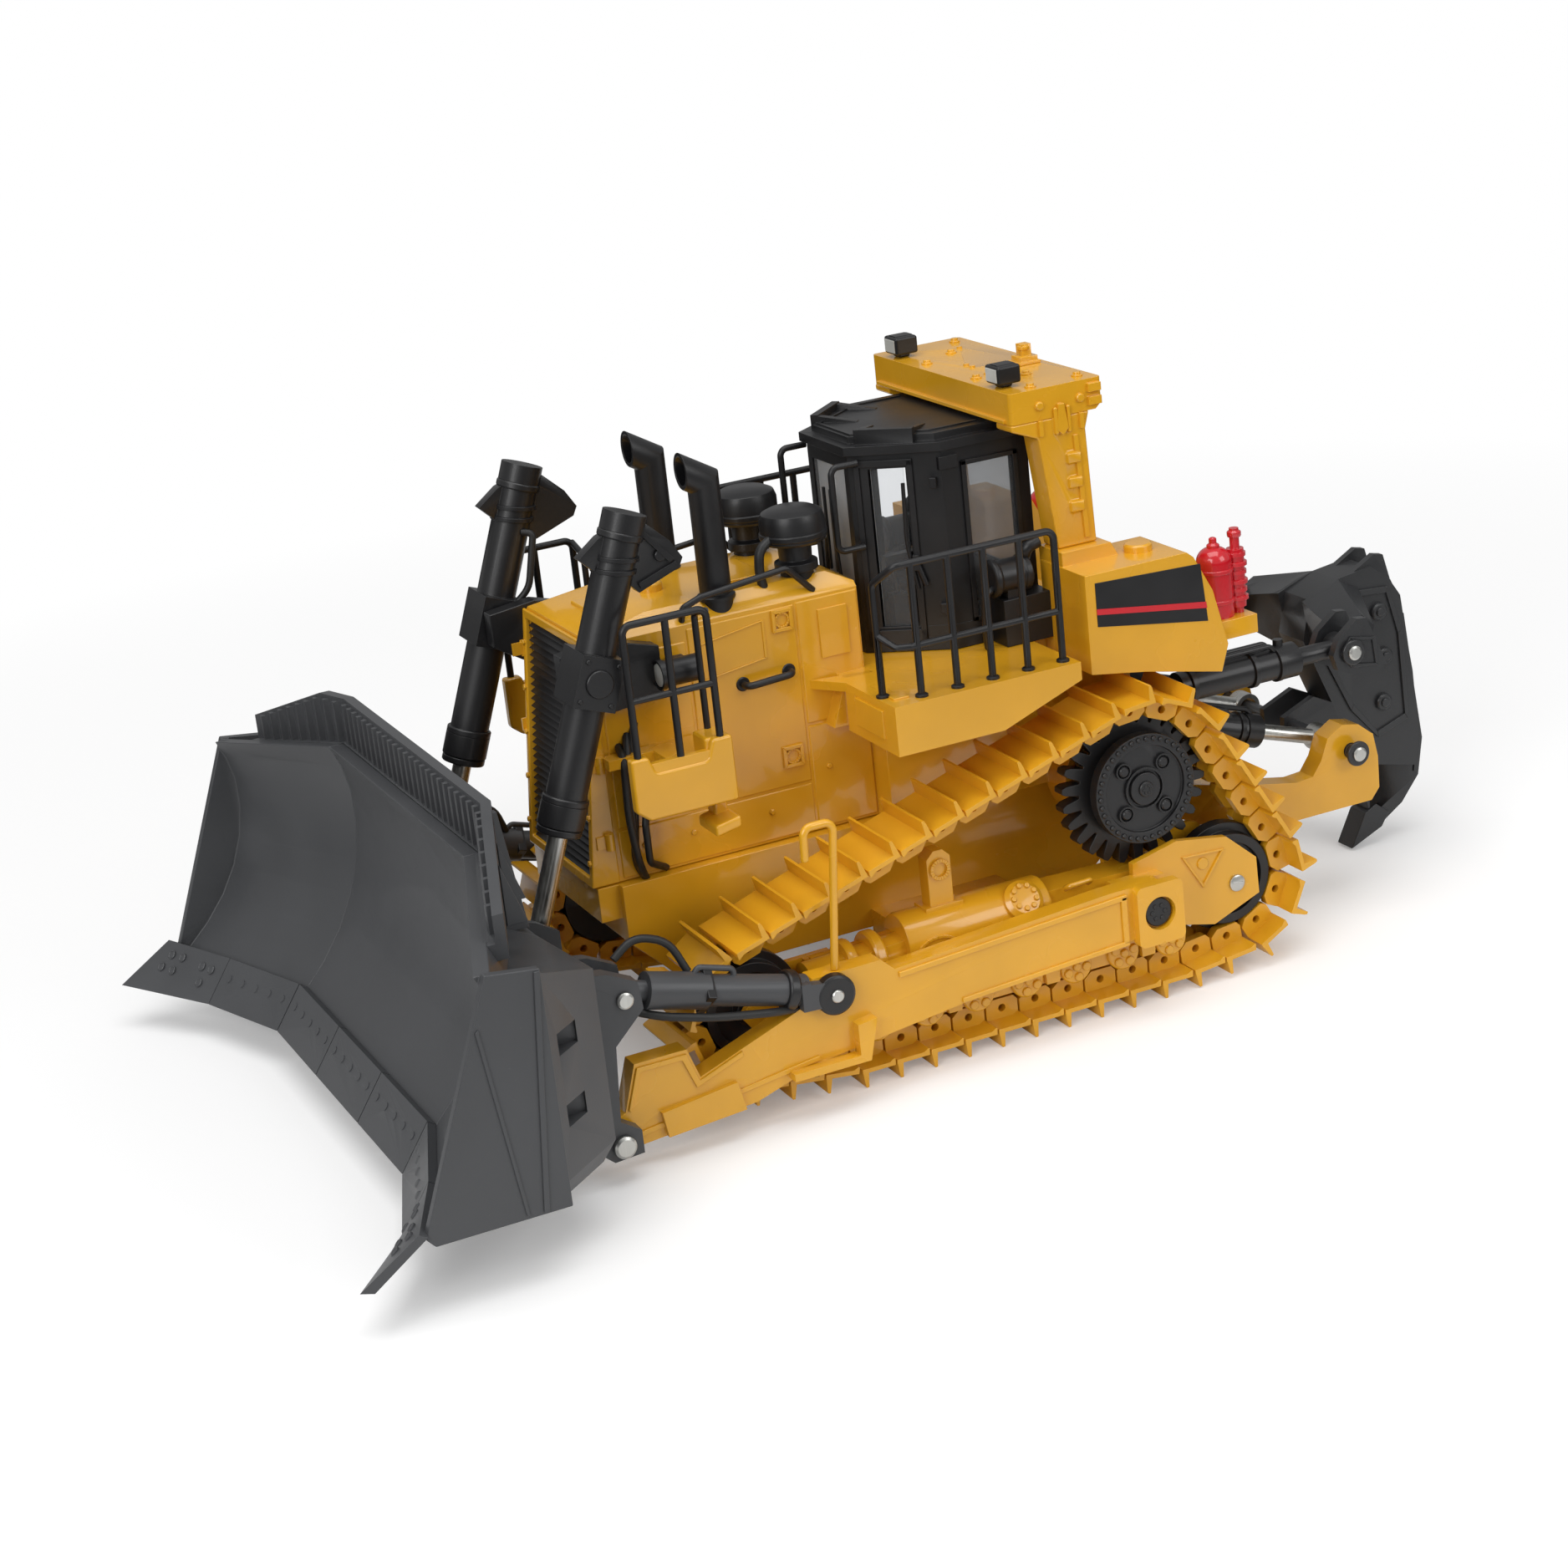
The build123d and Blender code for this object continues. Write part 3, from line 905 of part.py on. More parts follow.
def make_lift_yokes():
    """Trunnion arms that stand out from the radiator guard and carry the lift cylinders."""
    x, z = LIFT_PIVOT
    yokes = []
    for side in SIDES:
        arm = side_prism([(36.0, 61.0), (44.0, 60.2), (x + 2.6, z - 2.6), (x + 2.6, z + 2.6), (44.0, 71.0),
                          (36.0, 68.6)], side * (HOOD_HW + 0.35), side * (LIFT_Y - LIFT_BLOCK_IN - 0.35))
        stub = pin(x, z, 1.1, side * (LIFT_Y - LIFT_BLOCK_IN - 0.4), side * (LIFT_Y - 2.6))
        foot = box(36.0, 44.0, side * HOOD_HW, side * (HOOD_HW + 0.4), 61.0, 68.6)
        yokes.append(joined([arm, stub, foot]))
    write("lift_yokes", yokes)


# ================================================================ ripper
def make_ripper_arms():
    arms = []
    for side in SIDES:
        y0, y1 = side * (RIPPER_Y - 1.9), side * (RIPPER_Y + 1.9)
        outline = [(HITCH_X + 2.1, 24.4), (HITCH_X + 2.1, 27.2), (HITCH_X - 0.6, 28.3), (-58.0, 25.0),
                   (-69.0, 22.8), (-72.2, 23.0), (-74.0, 25.4), (-75.4, 28.8), (-78.4, 30.5), (-81.4, 29.9),
                   (-84.2, 27.6), (-85.0, 23.6), (-85.0, 18.2), (-83.4, 16.3), (-58.0, 16.3), (-46.0, 22.6)]
        arm = side_prism(outline, y0, y1)
        arm = arm - pin(HITCH_X, ARM_PIN_Z, 1.28, y0 - side * 1, y1 + side * 1)
        arms.append(arm - pin(ARM_PIN_X, ARM_PIN_Z, 1.28, y0 - side * 1, y1 + side * 1))
    cross = box(-66.0, -61.0, -RIPPER_Y + 1.5, RIPPER_Y - 1.5, 17.0, 20.6)
    write("ripper_arms", joined(arms + [cross]))


def make_ripper_beam():
    """Centre case that holds the shank, head wings, clevises and pins."""
    half = 3.6
    upper_z = ARM_PIN_Z + LINK_RISE
    case = side_prism([(-96.6, 50.0), (-90.0, 49.2), (-84.2, 46.8), (-82.6, 40.0), (-85.1, 34.2),
                       (-89.2, 24.4), (-91.0, 20.0), (-95.5, 15.2), (-104.4, 13.0), (-104.8, 20.0),
                       (-104.2, 30.0), (-102.2, 43.0), (-100.4, 47.0)], -half, half)
    slot = box(-110.0, -94.3, -1.95, 1.95, 0.0, 47.6)
    pieces = [case]
    for side in SIDES:
        wing = []
        for y, drop, cut in ((half - 0.1, 0.0, 0.0), (RIPPER_Y - 2.4, 2.6, 4.0)):
            outline = [(-82.8 + cut * 0.4, 46.8 - drop), (-90.0 + cut, 49.2 - drop), (-94.0 + cut * 1.4, 46.8 - drop),
                       (-91.6 + cut * 1.2, 40.0), (-84.6 + cut * 0.5, 36.4 + drop)]
            wing.append(make_face(Polyline(*[(x, side * y, z) for x, z in outline], close=True)))
        pieces.append(loft(wing, ruled=True))
        clevis = [(-76.2, 43.0), (-77.0, 40.4), (-79.0, 39.4), (-84.6, 38.8), (-86.4, 39.6), (-82.8, 48.0),
                  (-81.0, 48.2), (-77.4, 45.6)]
        ear_y = side * (RIPPER_Y + 3.5)
        pieces.append(side_prism(clevis, side * (RIPPER_Y + 2.1), ear_y))
        pieces.append(side_prism(clevis, side * (RIPPER_Y - 3.6), side * (RIPPER_Y - 2.2)))
        pieces.append(side_prism([(-83.6, 39.4), (-86.2, 39.8), (-83.9, 45.2), (-82.3, 45.2)],
                                 side * (RIPPER_Y - 3.6), ear_y))
        pieces.append(pin(ARM_PIN_X, upper_z, 1.2, side * (RIPPER_Y - 3.6), side * (RIPPER_Y + 4.1)))
        pieces.append(pin(ARM_PIN_X, ARM_PIN_Z, 1.2, side * (half - 1.0), side * (RIPPER_Y + 2.5)))
        web = side_prism([(-78.0, 27.6), (-78.0, 23.8), (-80.6, 22.8), (-92.0, 19.6), (-92.0, 26.0),
                          (-84.0, 30.0)], side * (half - 1.2), side * half)
        pieces.append(web)
        pieces.append(side_prism([(-90.4, 48.0), (-97.6, 51.8), (-99.4, 51.4), (-100.6, 47.0), (-96.0, 46.4)],
                                 side * 2.0, side * 3.2))
    write("ripper_beam", joined(pieces) - slot)


def make_shank():
    shank = side_prism([(-94.6, 47.2), (-101.0, 47.2), (-103.6, 43.2), (-106.9, 17.0), (-105.8, 10.5),
                        (-102.2, 6.2), (-97.6, 3.4), (-95.2, 2.4), (-95.4, 5.4), (-94.6, 9.0), (-94.6, 20.0)],
                       -1.85, 1.85)
    tip = side_prism([(-91.2, 0.4), (-97.6, 3.0), (-99.2, 5.4), (-96.6, 7.4), (-94.2, 6.2)], -2.2, 2.2)
    write("ripper_shank", [shank, tip - shank])


def make_pitch_links():
    z = ARM_PIN_Z + LINK_RISE
    for side, word in ((1, "left"), (-1, "right")):
        y = side * RIPPER_Y
        tube = rod((HITCH_X - 4.0, y, z), (ARM_PIN_X + 8.8, y, z), 2.55)
        collar = rod((ARM_PIN_X + 8.8, y, z), (ARM_PIN_X + 12.2, y, z), 2.85)
        front_eye = pin(HITCH_X, z, 2.2, y - 1.5, y + 1.5) + rod((HITCH_X, y, z), (HITCH_X - 5.0, y, z), 1.4)
        rear_eye = pin(ARM_PIN_X, z, 2.2, y - 1.7, y + 1.7) + rod((ARM_PIN_X, y, z), (ARM_PIN_X + 9.5, y, z), 1.5)
        tab = post(ARM_PIN_X + 11.6, y, 0.8, z + 1.8, z + 3.9)
        link = joined([tube, collar, front_eye, rear_eye, tab])
        for x in (HITCH_X, ARM_PIN_X):
            link = link - pin(x, z, 1.28, y - 4, y + 4)
        write(f"pitch_link_{word}", link)


def make_rams():
    x0, z0 = RAM_HITCH
    dx, dz = ARM_PIN_X - x0, ARM_PIN_Z - z0
    length = hypot(dx, dz)

    def at(distance, y):
        return (x0 + dx / length * distance, y, z0 + dz / length * distance)

    for side, word in ((1, "left"), (-1, "right")):
        y = side * RAM_Y
        barrel = rod(at(2.0, y), at(23.5, y), 2.5) + rod(at(20.6, y), at(23.5, y), 2.8)
        eye = pin(x0, z0, 1.8, y - 1.5, y + 1.5)
        top = [at(9.0, y), at(18.5, y)]
        valve = side_prism([(top[0][0], top[0][2] + 2.0), (top[1][0], top[1][2] + 2.0),
                            (top[1][0] + 1.1, top[1][2] + 3.9), (top[0][0] + 1.1, top[0][2] + 3.9)],
                           y - 1.5, y + 1.5)
        barrel = joined([barrel, eye, valve]) - rod(at(5.0, y), at(25.0, y), 1.35)
        write(f"ripper_barrel_{word}", barrel - pin(x0, z0, 0.98, y - 4, y + 4))
        shaft = rod(at(11.0, y), at(length - 1.6, y), 1.25)
        end = pin(ARM_PIN_X, ARM_PIN_Z, 2.35, y - 1.5, y + 1.5)
        write(f"ripper_rod_{word}", (shaft + end) - pin(ARM_PIN_X, ARM_PIN_Z, 1.6, y - 4, y + 4))


def make_hoses():
    hoses = []
    for side in SIDES:
        y = side * 15.8
        hoses.append(bent_bar([(39.5, side * 13.2, 47.0), (41.5, y, 42.0), (41.5, y, 36.0),
                               (38.0, side * 13.0, 33.6)], 0.55, 1.6))
    write("hydraulic_hoses", hoses)


def main():
    count, pitch = make_tracks()
    make_sprockets()
    make_idlers()
    write("track_frames", [track_frame(side) for side in SIDES])
    make_main_frame()
    make_rear_bracket()
    make_hood()
    make_grille()
    make_stacks()
    make_precleaners()
    make_handrails()
    make_cab()
    make_roof()
    make_cab_inside()
    make_rops()
    make_lamps()
    make_fenders()
    make_railings()
    make_tanks()
    make_extinguishers()
    make_front_steps()
    make_screws()
    make_blade()
    make_blade_back()
    make_guard()
    make_edges()
    make_push_arms()
    make_braces()
    make_lift_cylinders()
    make_lift_yokes()
    make_ripper_arms()
    make_ripper_beam()
    make_shank()
    make_pitch_links()
    make_rams()
    make_hoses()
    trim("hood", "main_frame", "grille_frame")
    trim("exhaust_stacks", "hood")
    trim("precleaners", "hood")
    trim("handrails", "hood", "cab_pillars", "cab_roof", "exhaust_stacks", "precleaners")
    trim("cab_pillars", "cab_walls", "cab_roof")
    trim("cab_windows", "cab_pillars", "cab_walls")
    trim("fenders", "main_frame", "hood", "cab_walls")
    trim("railings", "fenders")
    trim("rear_tanks", "main_frame", "fenders", "rops_posts", "cab_walls")
    trim("fire_extinguishers", "rear_tanks")
    trim("rear_bracket", "main_frame", "rear_tanks")
    trim("lift_yokes", "hood", "main_frame", "grille_frame")
    trim("front_steps", "hood", "grille_frame", "lift_yokes")
    trim("step_cages", "front_steps")
    trim("work_lamps", "hood", "rops_canopy", "lift_yokes", "front_steps")
    trim("hydraulic_hoses", "hood", "main_frame", "lift_yokes", "grille_frame")
    trim("track_frames", "main_frame")
    trim("pivot_screws", "track_frames")
    trim("blade_back", "blade_centre", "blade_wing_left", "blade_wing_right")
    trim("spill_guard", "blade_centre", "blade_wing_left", "blade_wing_right")
    trim("cutting_edges", "blade_centre", "blade_wing_left", "blade_wing_right", "blade_back")
    trim("push_arm_left", "blade_back")
    trim("push_arm_right", "blade_back")
    trim("tilt_braces", "push_arm_left", "push_arm_right", "blade_back")
    trim("step_loops", "push_arm_left", "push_arm_right", "tilt_braces")
    trim("ripper_beam", "ripper_shank")
    export_nodes()
    print(f"{count} track links at {pitch:.3f} mm pitch")


main()
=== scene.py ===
import json
from math import cos, pi, radians, sin

import bmesh
import bpy
from bpy.props import FloatProperty, FloatVectorProperty, PointerProperty
from mathutils import Matrix, Vector

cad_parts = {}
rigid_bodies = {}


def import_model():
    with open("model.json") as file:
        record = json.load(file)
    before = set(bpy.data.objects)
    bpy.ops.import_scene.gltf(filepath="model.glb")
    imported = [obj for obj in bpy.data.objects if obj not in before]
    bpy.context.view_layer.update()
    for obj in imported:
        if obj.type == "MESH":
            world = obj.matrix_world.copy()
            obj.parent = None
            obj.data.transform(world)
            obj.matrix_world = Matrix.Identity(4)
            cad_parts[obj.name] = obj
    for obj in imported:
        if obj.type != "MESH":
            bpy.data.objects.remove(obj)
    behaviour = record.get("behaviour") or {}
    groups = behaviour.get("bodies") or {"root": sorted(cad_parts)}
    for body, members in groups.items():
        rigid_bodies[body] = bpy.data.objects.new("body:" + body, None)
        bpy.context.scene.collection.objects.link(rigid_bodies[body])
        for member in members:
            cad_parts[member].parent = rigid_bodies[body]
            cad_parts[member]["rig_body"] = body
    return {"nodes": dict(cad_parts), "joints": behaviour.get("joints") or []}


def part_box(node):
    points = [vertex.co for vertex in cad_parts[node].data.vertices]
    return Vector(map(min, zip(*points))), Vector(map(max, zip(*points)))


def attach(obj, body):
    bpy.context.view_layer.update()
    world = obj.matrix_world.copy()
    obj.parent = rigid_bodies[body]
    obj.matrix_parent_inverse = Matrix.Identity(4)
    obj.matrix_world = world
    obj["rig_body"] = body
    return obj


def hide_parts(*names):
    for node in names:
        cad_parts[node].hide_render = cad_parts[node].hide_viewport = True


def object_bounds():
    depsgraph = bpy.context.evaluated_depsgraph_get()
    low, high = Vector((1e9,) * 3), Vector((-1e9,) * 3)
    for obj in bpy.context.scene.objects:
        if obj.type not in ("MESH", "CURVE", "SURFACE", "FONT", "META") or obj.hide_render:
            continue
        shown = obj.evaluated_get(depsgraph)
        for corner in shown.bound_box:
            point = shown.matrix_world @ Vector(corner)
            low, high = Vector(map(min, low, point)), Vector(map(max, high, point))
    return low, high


bl_info = {
    "name": "Toy Crawler Bulldozer",
    "version": (1, 0, 0),
    "blender": (4, 5, 0),
    "location": "3D View > Sidebar > Bulldozer",
    "description": "Builds the painted and moulded pieces of a die-cast toy bulldozer",
    "category": "Object",
}

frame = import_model()
CAD_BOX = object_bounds()
MM = 0.001
SIDES = (1, -1)
SIDE_NAMES = {1: "left", -1: "right"}
WHITE = (1.0, 1.0, 1.0, 1.0)

# lengths below are millimetres; +X is forward, +Y the machine's left, +Z up
WELD = 0.002           # vertices closer than this are one
FLAT = radians(1.0)    # faces that turn less than this are one
SHARP = radians(38.0)  # edges that turn more than this stay sharp


# ---------------------------------------------------------------- settings
def colour(name, description, default):
    return FloatVectorProperty(name=name, description=description, subtype="COLOR", size=3, min=0, max=1,
                               default=default)


def length(name, description, millimetres):
    return FloatProperty(name=name, description=description, default=millimetres * MM, min=0.0, unit="LENGTH")


class BulldozerColours(bpy.types.PropertyGroup):
    """Paint and plastic colours."""

    yellow: colour("Yellow enamel", "Body paint", (0.745, 0.370, 0.014))
    grey: colour("Blade grey", "Matte paint on the blade and ripper", (0.058, 0.060, 0.064))
    black_metal: colour("Black enamel", "Painted metal of the cylinders and wheels", (0.011, 0.011, 0.012))
    black: colour("Black plastic", "Moulded trim", (0.009, 0.009, 0.010))
    red: colour("Red", "Fire extinguishers", (0.62, 0.012, 0.022))
    steel: colour("Steel", "Piston rods and pins", (0.60, 0.60, 0.57))
    hose: colour("Hose", "Hydraulic hoses", (0.012, 0.012, 0.012))
    glazing: colour("Glazing", "What the windows let through", (0.97, 0.975, 0.98))
    lens: colour("Lamp lens", "Glass of the lamps", (0.62, 0.62, 0.58))


class BulldozerSizes(bpy.types.PropertyGroup):
    """Sizes of the rounding and of the studio."""

    casting_edge: length("Casting edge", "Rounding on the heavy yellow castings", 0.35)
    plate_edge: length("Plate edge", "Rounding on the blade's plates", 0.22)
    hood_edge: length("Hood edge", "Rounding on the engine hood", 0.9)
    floor_reach: length("Floor reach", "Half the width of the studio floor", 6000.0)
    focal_length: FloatProperty(name="Focal length", description="Lens of the studio camera", default=71.23,
                                min=1.0, unit="CAMERA")


# ---------------------------------------------------------------- shader building
class Wire:
    """A shader socket that takes part in Python arithmetic."""

    def __init__(self, paint, socket):
        self.paint = paint
        self.socket = socket

    def maths(self, operation, first, second):
        return self.paint.node("ShaderNodeMath", {"operation": operation}, {0: first, 1: second})

    def __add__(self, other):
        return self.maths("ADD", self, other)

    def __radd__(self, other):
        return self.maths("ADD", other, self)

    def __mul__(self, other):
        return self.maths("MULTIPLY", self, other)

    def __rmul__(self, other):
        return self.maths("MULTIPLY", other, self)


class Paint:
    """The shader nodes of one material or world."""

    def __init__(self, owner, output="ShaderNodeOutputMaterial"):
        owner.use_nodes = True
        self.owner = owner
        self.tree = owner.node_tree
        self.tree.nodes.clear()
        self.output = self.tree.nodes.new(output)

    def node(self, kind, settings=None, values=None, out=0):
        made = self.tree.nodes.new(kind)
        for key, value in (settings or {}).items():
            setattr(made, key, value)
        for key, value in (values or {}).items():
            if isinstance(value, Wire):
                self.tree.links.new(value.socket, made.inputs[key])
            else:
                made.inputs[key].default_value = value
        return Wire(self, made.outputs[out])

    def place(self):
        return self.node("ShaderNodeTexCoord", out="Object")

    def noise(self, size, detail=2.0, roughness=0.5, place=None):
        """Grey noise whose blobs are about size millimetres."""
        values = {"Vector": place or self.place(), "Scale": 1.0 / (size * MM), "Detail": detail,
                  "Roughness": roughness}
        return self.node("ShaderNodeTexNoise", {}, values)

    def mix(self, factor, first, second):
        return self.node("ShaderNodeMix", {"data_type": "RGBA"}, {0: factor, 6: first, 7: second}, out=2)

    def spread(self, value, low, high, start, end):
        """Map value from low..high to start..end, clamped."""
        return self.node("ShaderNodeMapRange", {}, {0: value, 1: low, 2: high, 3: start, 4: end})

    def bump(self, height, depth):
        return self.node("ShaderNodeBump", {}, {"Height": height, "Distance": depth * MM, "Strength": 1.0})

    def surface(self, **values):
        named = {key.replace("_", " "): value for key, value in values.items()}
        return self.finish(self.node("ShaderNodeBsdfPrincipled", {}, named))

    def finish(self, shader):
        self.tree.links.new(shader.socket, self.output.inputs[0])
        return self.owner


def new_paint(name):
    return Paint(bpy.data.materials.new(name))


def shade(tint, factor=1.0):
    return (tint[0] * factor, tint[1] * factor, tint[2] * factor, 1.0)


# ---------------------------------------------------------------- finishes
def enamel(name, tint, rough, coat, peel, depth):
    """Sprayed enamel over a zinc casting: slow tone drift, orange peel and faint dust."""
    paint = new_paint(name)
    drift = paint.noise(16.0, 3.0)
    dust = paint.spread(paint.noise(0.55, 4.0, 0.7), 0.70, 0.80, 0.0, 1.0)
    tone = paint.mix(paint.spread(drift, 0.35, 0.65, 0.0, 1.0), shade(tint, 0.93), shade(tint, 1.05))
    tone = paint.mix(dust * 0.10, tone, (0.75, 0.72, 0.66, 1.0))
    roughness = paint.spread(drift, 0.3, 0.7, rough * 0.85, rough * 1.15) + dust * 0.12
    relief = paint.bump(paint.noise(peel) + paint.noise(0.16) * 0.25, depth)
    return paint.surface(Base_Color=tone, Roughness=roughness, Coat_Weight=coat, Coat_Roughness=0.05,
                         IOR=1.5, Normal=relief)


def moulding(name, tint, rough, grain, depth):
    """Moulded plastic with a fine grain and slightly paler rubbed places."""
    paint = new_paint(name)
    drift = paint.noise(9.0, 3.0)
    tone = paint.mix(paint.spread(drift, 0.35, 0.68, 0.0, 1.0), shade(tint, 0.85), shade(tint, 1.2))
    roughness = paint.spread(drift, 0.3, 0.7, rough * 0.88, rough * 1.12)
    relief = paint.bump(paint.noise(grain, 3.0, 0.6), depth)
    return paint.surface(Base_Color=tone, Roughness=roughness, Normal=relief)


def turned_steel(name, tint, rough):
    """Bright steel with fine marks drawn out along one direction."""
    paint = new_paint(name)
    along = paint.node("ShaderNodeMapping", {}, {"Vector": paint.place(), "Scale": (1.0, 1.0, 0.06)})
    marks = paint.noise(0.6, place=along)
    tone = paint.mix(paint.spread(marks, 0.4, 0.65, 0.0, 1.0), shade(tint, 0.94), shade(tint, 1.04))
    roughness = paint.spread(marks, 0.3, 0.7, rough * 0.85, rough * 1.15)
    return paint.surface(Base_Color=tone, Metallic=1.0, Roughness=roughness, Normal=paint.bump(marks, 0.003))


def clear_styrene(name, tint):
    """Thin clear styrene: mostly see-through with a soft gloss."""
    paint = new_paint(name)
    refraction = 1.49
    rough = paint.spread(paint.noise(3.0, 3.0), 0.3, 0.7, 0.03, 0.10)
    clear = paint.node("ShaderNodeBsdfTransparent", {}, {"Color": shade(tint)})
    gloss = paint.node("ShaderNodeBsdfPrincipled", {},
                       {"Base Color": (0.72, 0.74, 0.76, 1.0), "IOR": refraction, "Roughness": rough})
    view = paint.node("ShaderNodeFresnel", {}, {"IOR": refraction})
    factor = paint.spread(view, 0.0, 1.0, 0.03, 0.8)
    return paint.finish(paint.node("ShaderNodeMixShader", {}, {0: factor, 1: clear, 2: gloss}))


FINISHES = {}


def prepare_finishes(colours):
    """Mix every finish once, for all the pieces that wear it."""
    ripper_tint = [0.42 * part for part in colours.grey]
    FINISHES.update({
        "yellow": enamel("amber_enamel", colours.yellow, 0.26, 0.55, 0.9, 0.010),
        "yellow_satin": enamel("amber_enamel_cast", colours.yellow, 0.34, 0.35, 0.5, 0.016),
        "grey": enamel("blade_grey_enamel", colours.grey, 0.46, 0.06, 0.35, 0.012),
        "dark_grey": enamel("ripper_grey_enamel", ripper_tint, 0.36, 0.10, 0.35, 0.012),
        "black_metal": enamel("black_enamel", colours.black_metal, 0.38, 0.10, 0.4, 0.010),
        "black": moulding("black_moulding", colours.black, 0.40, 0.18, 0.008),
        "red": enamel("red_gloss", colours.red, 0.20, 0.6, 0.8, 0.008),
        "steel": turned_steel("rod_steel", colours.steel, 0.32),
        "hose": moulding("hose_rubber", colours.hose, 0.48, 0.25, 0.015),
        "glazing": clear_styrene("clear_styrene", colours.glazing),
        "lens": moulding("lamp_lens", colours.lens, 0.18, 0.3, 0.02),
    })


# ---------------------------------------------------------------- mesh building
class Form:
    """Mesh geometry in millimetres."""

    def __init__(self):
        self.bm = bmesh.new()

    def prism(self, outline, axis, low, high):
        """Extrude a closed outline. Axis X takes (y, z), Y takes (x, z), Z takes (x, y)."""
        def point(a, b, depth):
            return {"X": (depth, a, b), "Y": (a, depth, b), "Z": (a, b, depth)}[axis]

        bottom = [self.bm.verts.new(point(a, b, low)) for a, b in outline]
        top = [self.bm.verts.new(point(a, b, high)) for a, b in outline]
        faces = [self.bm.faces.new(bottom), self.bm.faces.new(top)]
        for i in range(len(outline)):
            j = (i + 1) % len(outline)
            faces.append(self.bm.faces.new((bottom[i], bottom[j], top[j], top[i])))
        bmesh.ops.recalc_face_normals(self.bm, faces=faces)
        return self

    def box(self, x0, x1, y0, y1, z0, z1):
        return self.prism([(x0, y0), (x1, y0), (x1, y1), (x0, y1)], "Z", z0, z1)

    def skin(self, rings, caps=True):
        """Join closed rings of equal length with quads."""
        rows = [[self.bm.verts.new(p) for p in ring] for ring in rings]
        faces = []
        count = len(rows[0])
        for a, b in zip(rows, rows[1:]):
            for i in range(count):
                j = (i + 1) % count
                faces.append(self.bm.faces.new((a[i], a[j], b[j], b[i])))
        if caps:
            faces.append(self.bm.faces.new(list(reversed(rows[0]))))
            faces.append(self.bm.faces.new(rows[-1]))
        bmesh.ops.recalc_face_normals(self.bm, faces=faces)
        return self

    def lathe(self, profile, origin, axis, sides=32, solid=True):
        """Turn (radius, height) points about an axis through origin; one that isn't solid keeps its hole."""
        turn = Vector(axis).normalized().to_track_quat("Z", "Y").to_matrix()
        least = 0.001
        circle = ring(0.0, 0.0, 1.0, sides)
        rings = []
        for radius, height in profile:
            reach = max(radius, least)
            points = [Vector((reach * a, reach * b, height)) for a, b in circle]
            rings.append([Vector(origin) + turn @ point for point in points])
        return self.skin(rings) if solid else self.skin(rings + rings[:1], caps=False)

    def collar(self, inner, outer, width, chamfer, origin, axis, sides=36, solid=True):
        """A band round a shaft, with both rims chamfered."""
        profile = [(inner, 0.0), (outer, chamfer), (outer, width - chamfer), (inner, width)]
        return self.lathe(profile, origin, axis, sides, solid)

    def stud(self, foot, top, rim, height, origin, axis, sides=32):
        """A round head that is foot wide up to the rim and narrows to top."""
        return self.lathe([(foot, 0.0), (foot, rim), (top, height)], origin, axis, sides)

    def disc(self, x, y, z, radius, height, side=1, sides=32):
        """A flat boss on a face that looks to the machine's side."""
        return self.stud(radius, radius - height * 0.3, height * 0.7, height, (x, y, z), (0, side, 0), sides)

    def torx(self, x, y, z, radius, side):
        """A round screw head with six small lobes round its socket."""
        self.disc(x, y, z, radius, 0.5, side)
        for px, pz in ring(x, z, radius * 0.48, 6):
            self.disc(px, y + side * 0.4, pz, radius * 0.17, 0.25, side, 10)
        return self

    def border(self, outline, axis, low, high, width):
        """A raised rim that follows a closed outline."""
        middle = [sum(p[i] for p in outline) / len(outline) for i in range(2)]
        inner = []
        for a, b in outline:
            da, db = middle[0] - a, middle[1] - b
            size = (da * da + db * db) ** 0.5
            inner.append((a + da / size * width, b + db / size * width))
        for i in range(len(outline)):
            j = (i + 1) % len(outline)
            self.prism([outline[i], outline[j], inner[j], inner[i]], axis, low, high)
        return self

    def tube(self, points, radius, corner=None, sides=12):
        """A round bar through points, with rounded corners."""
        path = rounded_path([Vector(p) for p in points], corner if corner is not None else 2.2 * radius)
        rings = []
        up = None
        for i, place in enumerate(path):
            ahead = (path[min(i + 1, len(path) - 1)] - path[max(i - 1, 0)]).normalized()
            if up is None:
                up = ahead.orthogonal().normalized()
            up = (up - ahead * up.dot(ahead)).normalized()
            side = ahead.cross(up)
            angles = [2 * pi * k / sides for k in range(sides)]
            rings.append([place + (up * cos(a) + side * sin(a)) * radius for a in angles])
        return self.skin(rings)

    def mirrored(self):
        """Add the same geometry on the machine's other side."""
        copy = bmesh.ops.duplicate(self.bm, geom=self.bm.verts[:] + self.bm.edges[:] + self.bm.faces[:])
        for item in copy["geom"]:
            if isinstance(item, bmesh.types.BMVert):
                item.co.y = -item.co.y
        flipped = [item for item in copy["geom"] if isinstance(item, bmesh.types.BMFace)]
        bmesh.ops.reverse_faces(self.bm, faces=flipped)
        return self

    def mesh(self, name):
        for vert in self.bm.verts:
            vert.co *= MM
        mesh = bpy.data.meshes.new(name)
        self.bm.to_mesh(mesh)
        self.bm.free()
        return mesh


def rounded_path(points, corner):
    """Points with each corner turned into an arc of short steps."""
    if corner <= 0 or len(points) < 3:
        return points
    steps = 5
    path = [points[0]]
    for before, at, after in zip(points, points[1:], points[2:]):
        into, out = (before - at), (after - at)
        reach = min(corner, into.length * 0.48, out.length * 0.48)
        start, end = at + into.normalized() * reach, at + out.normalized() * reach
        for k in range(steps + 1):
            t = k / steps
            path.append(start * (1 - t) ** 2 + at * 2 * t * (1 - t) + end * t ** 2)
    path.append(points[-1])
    return path


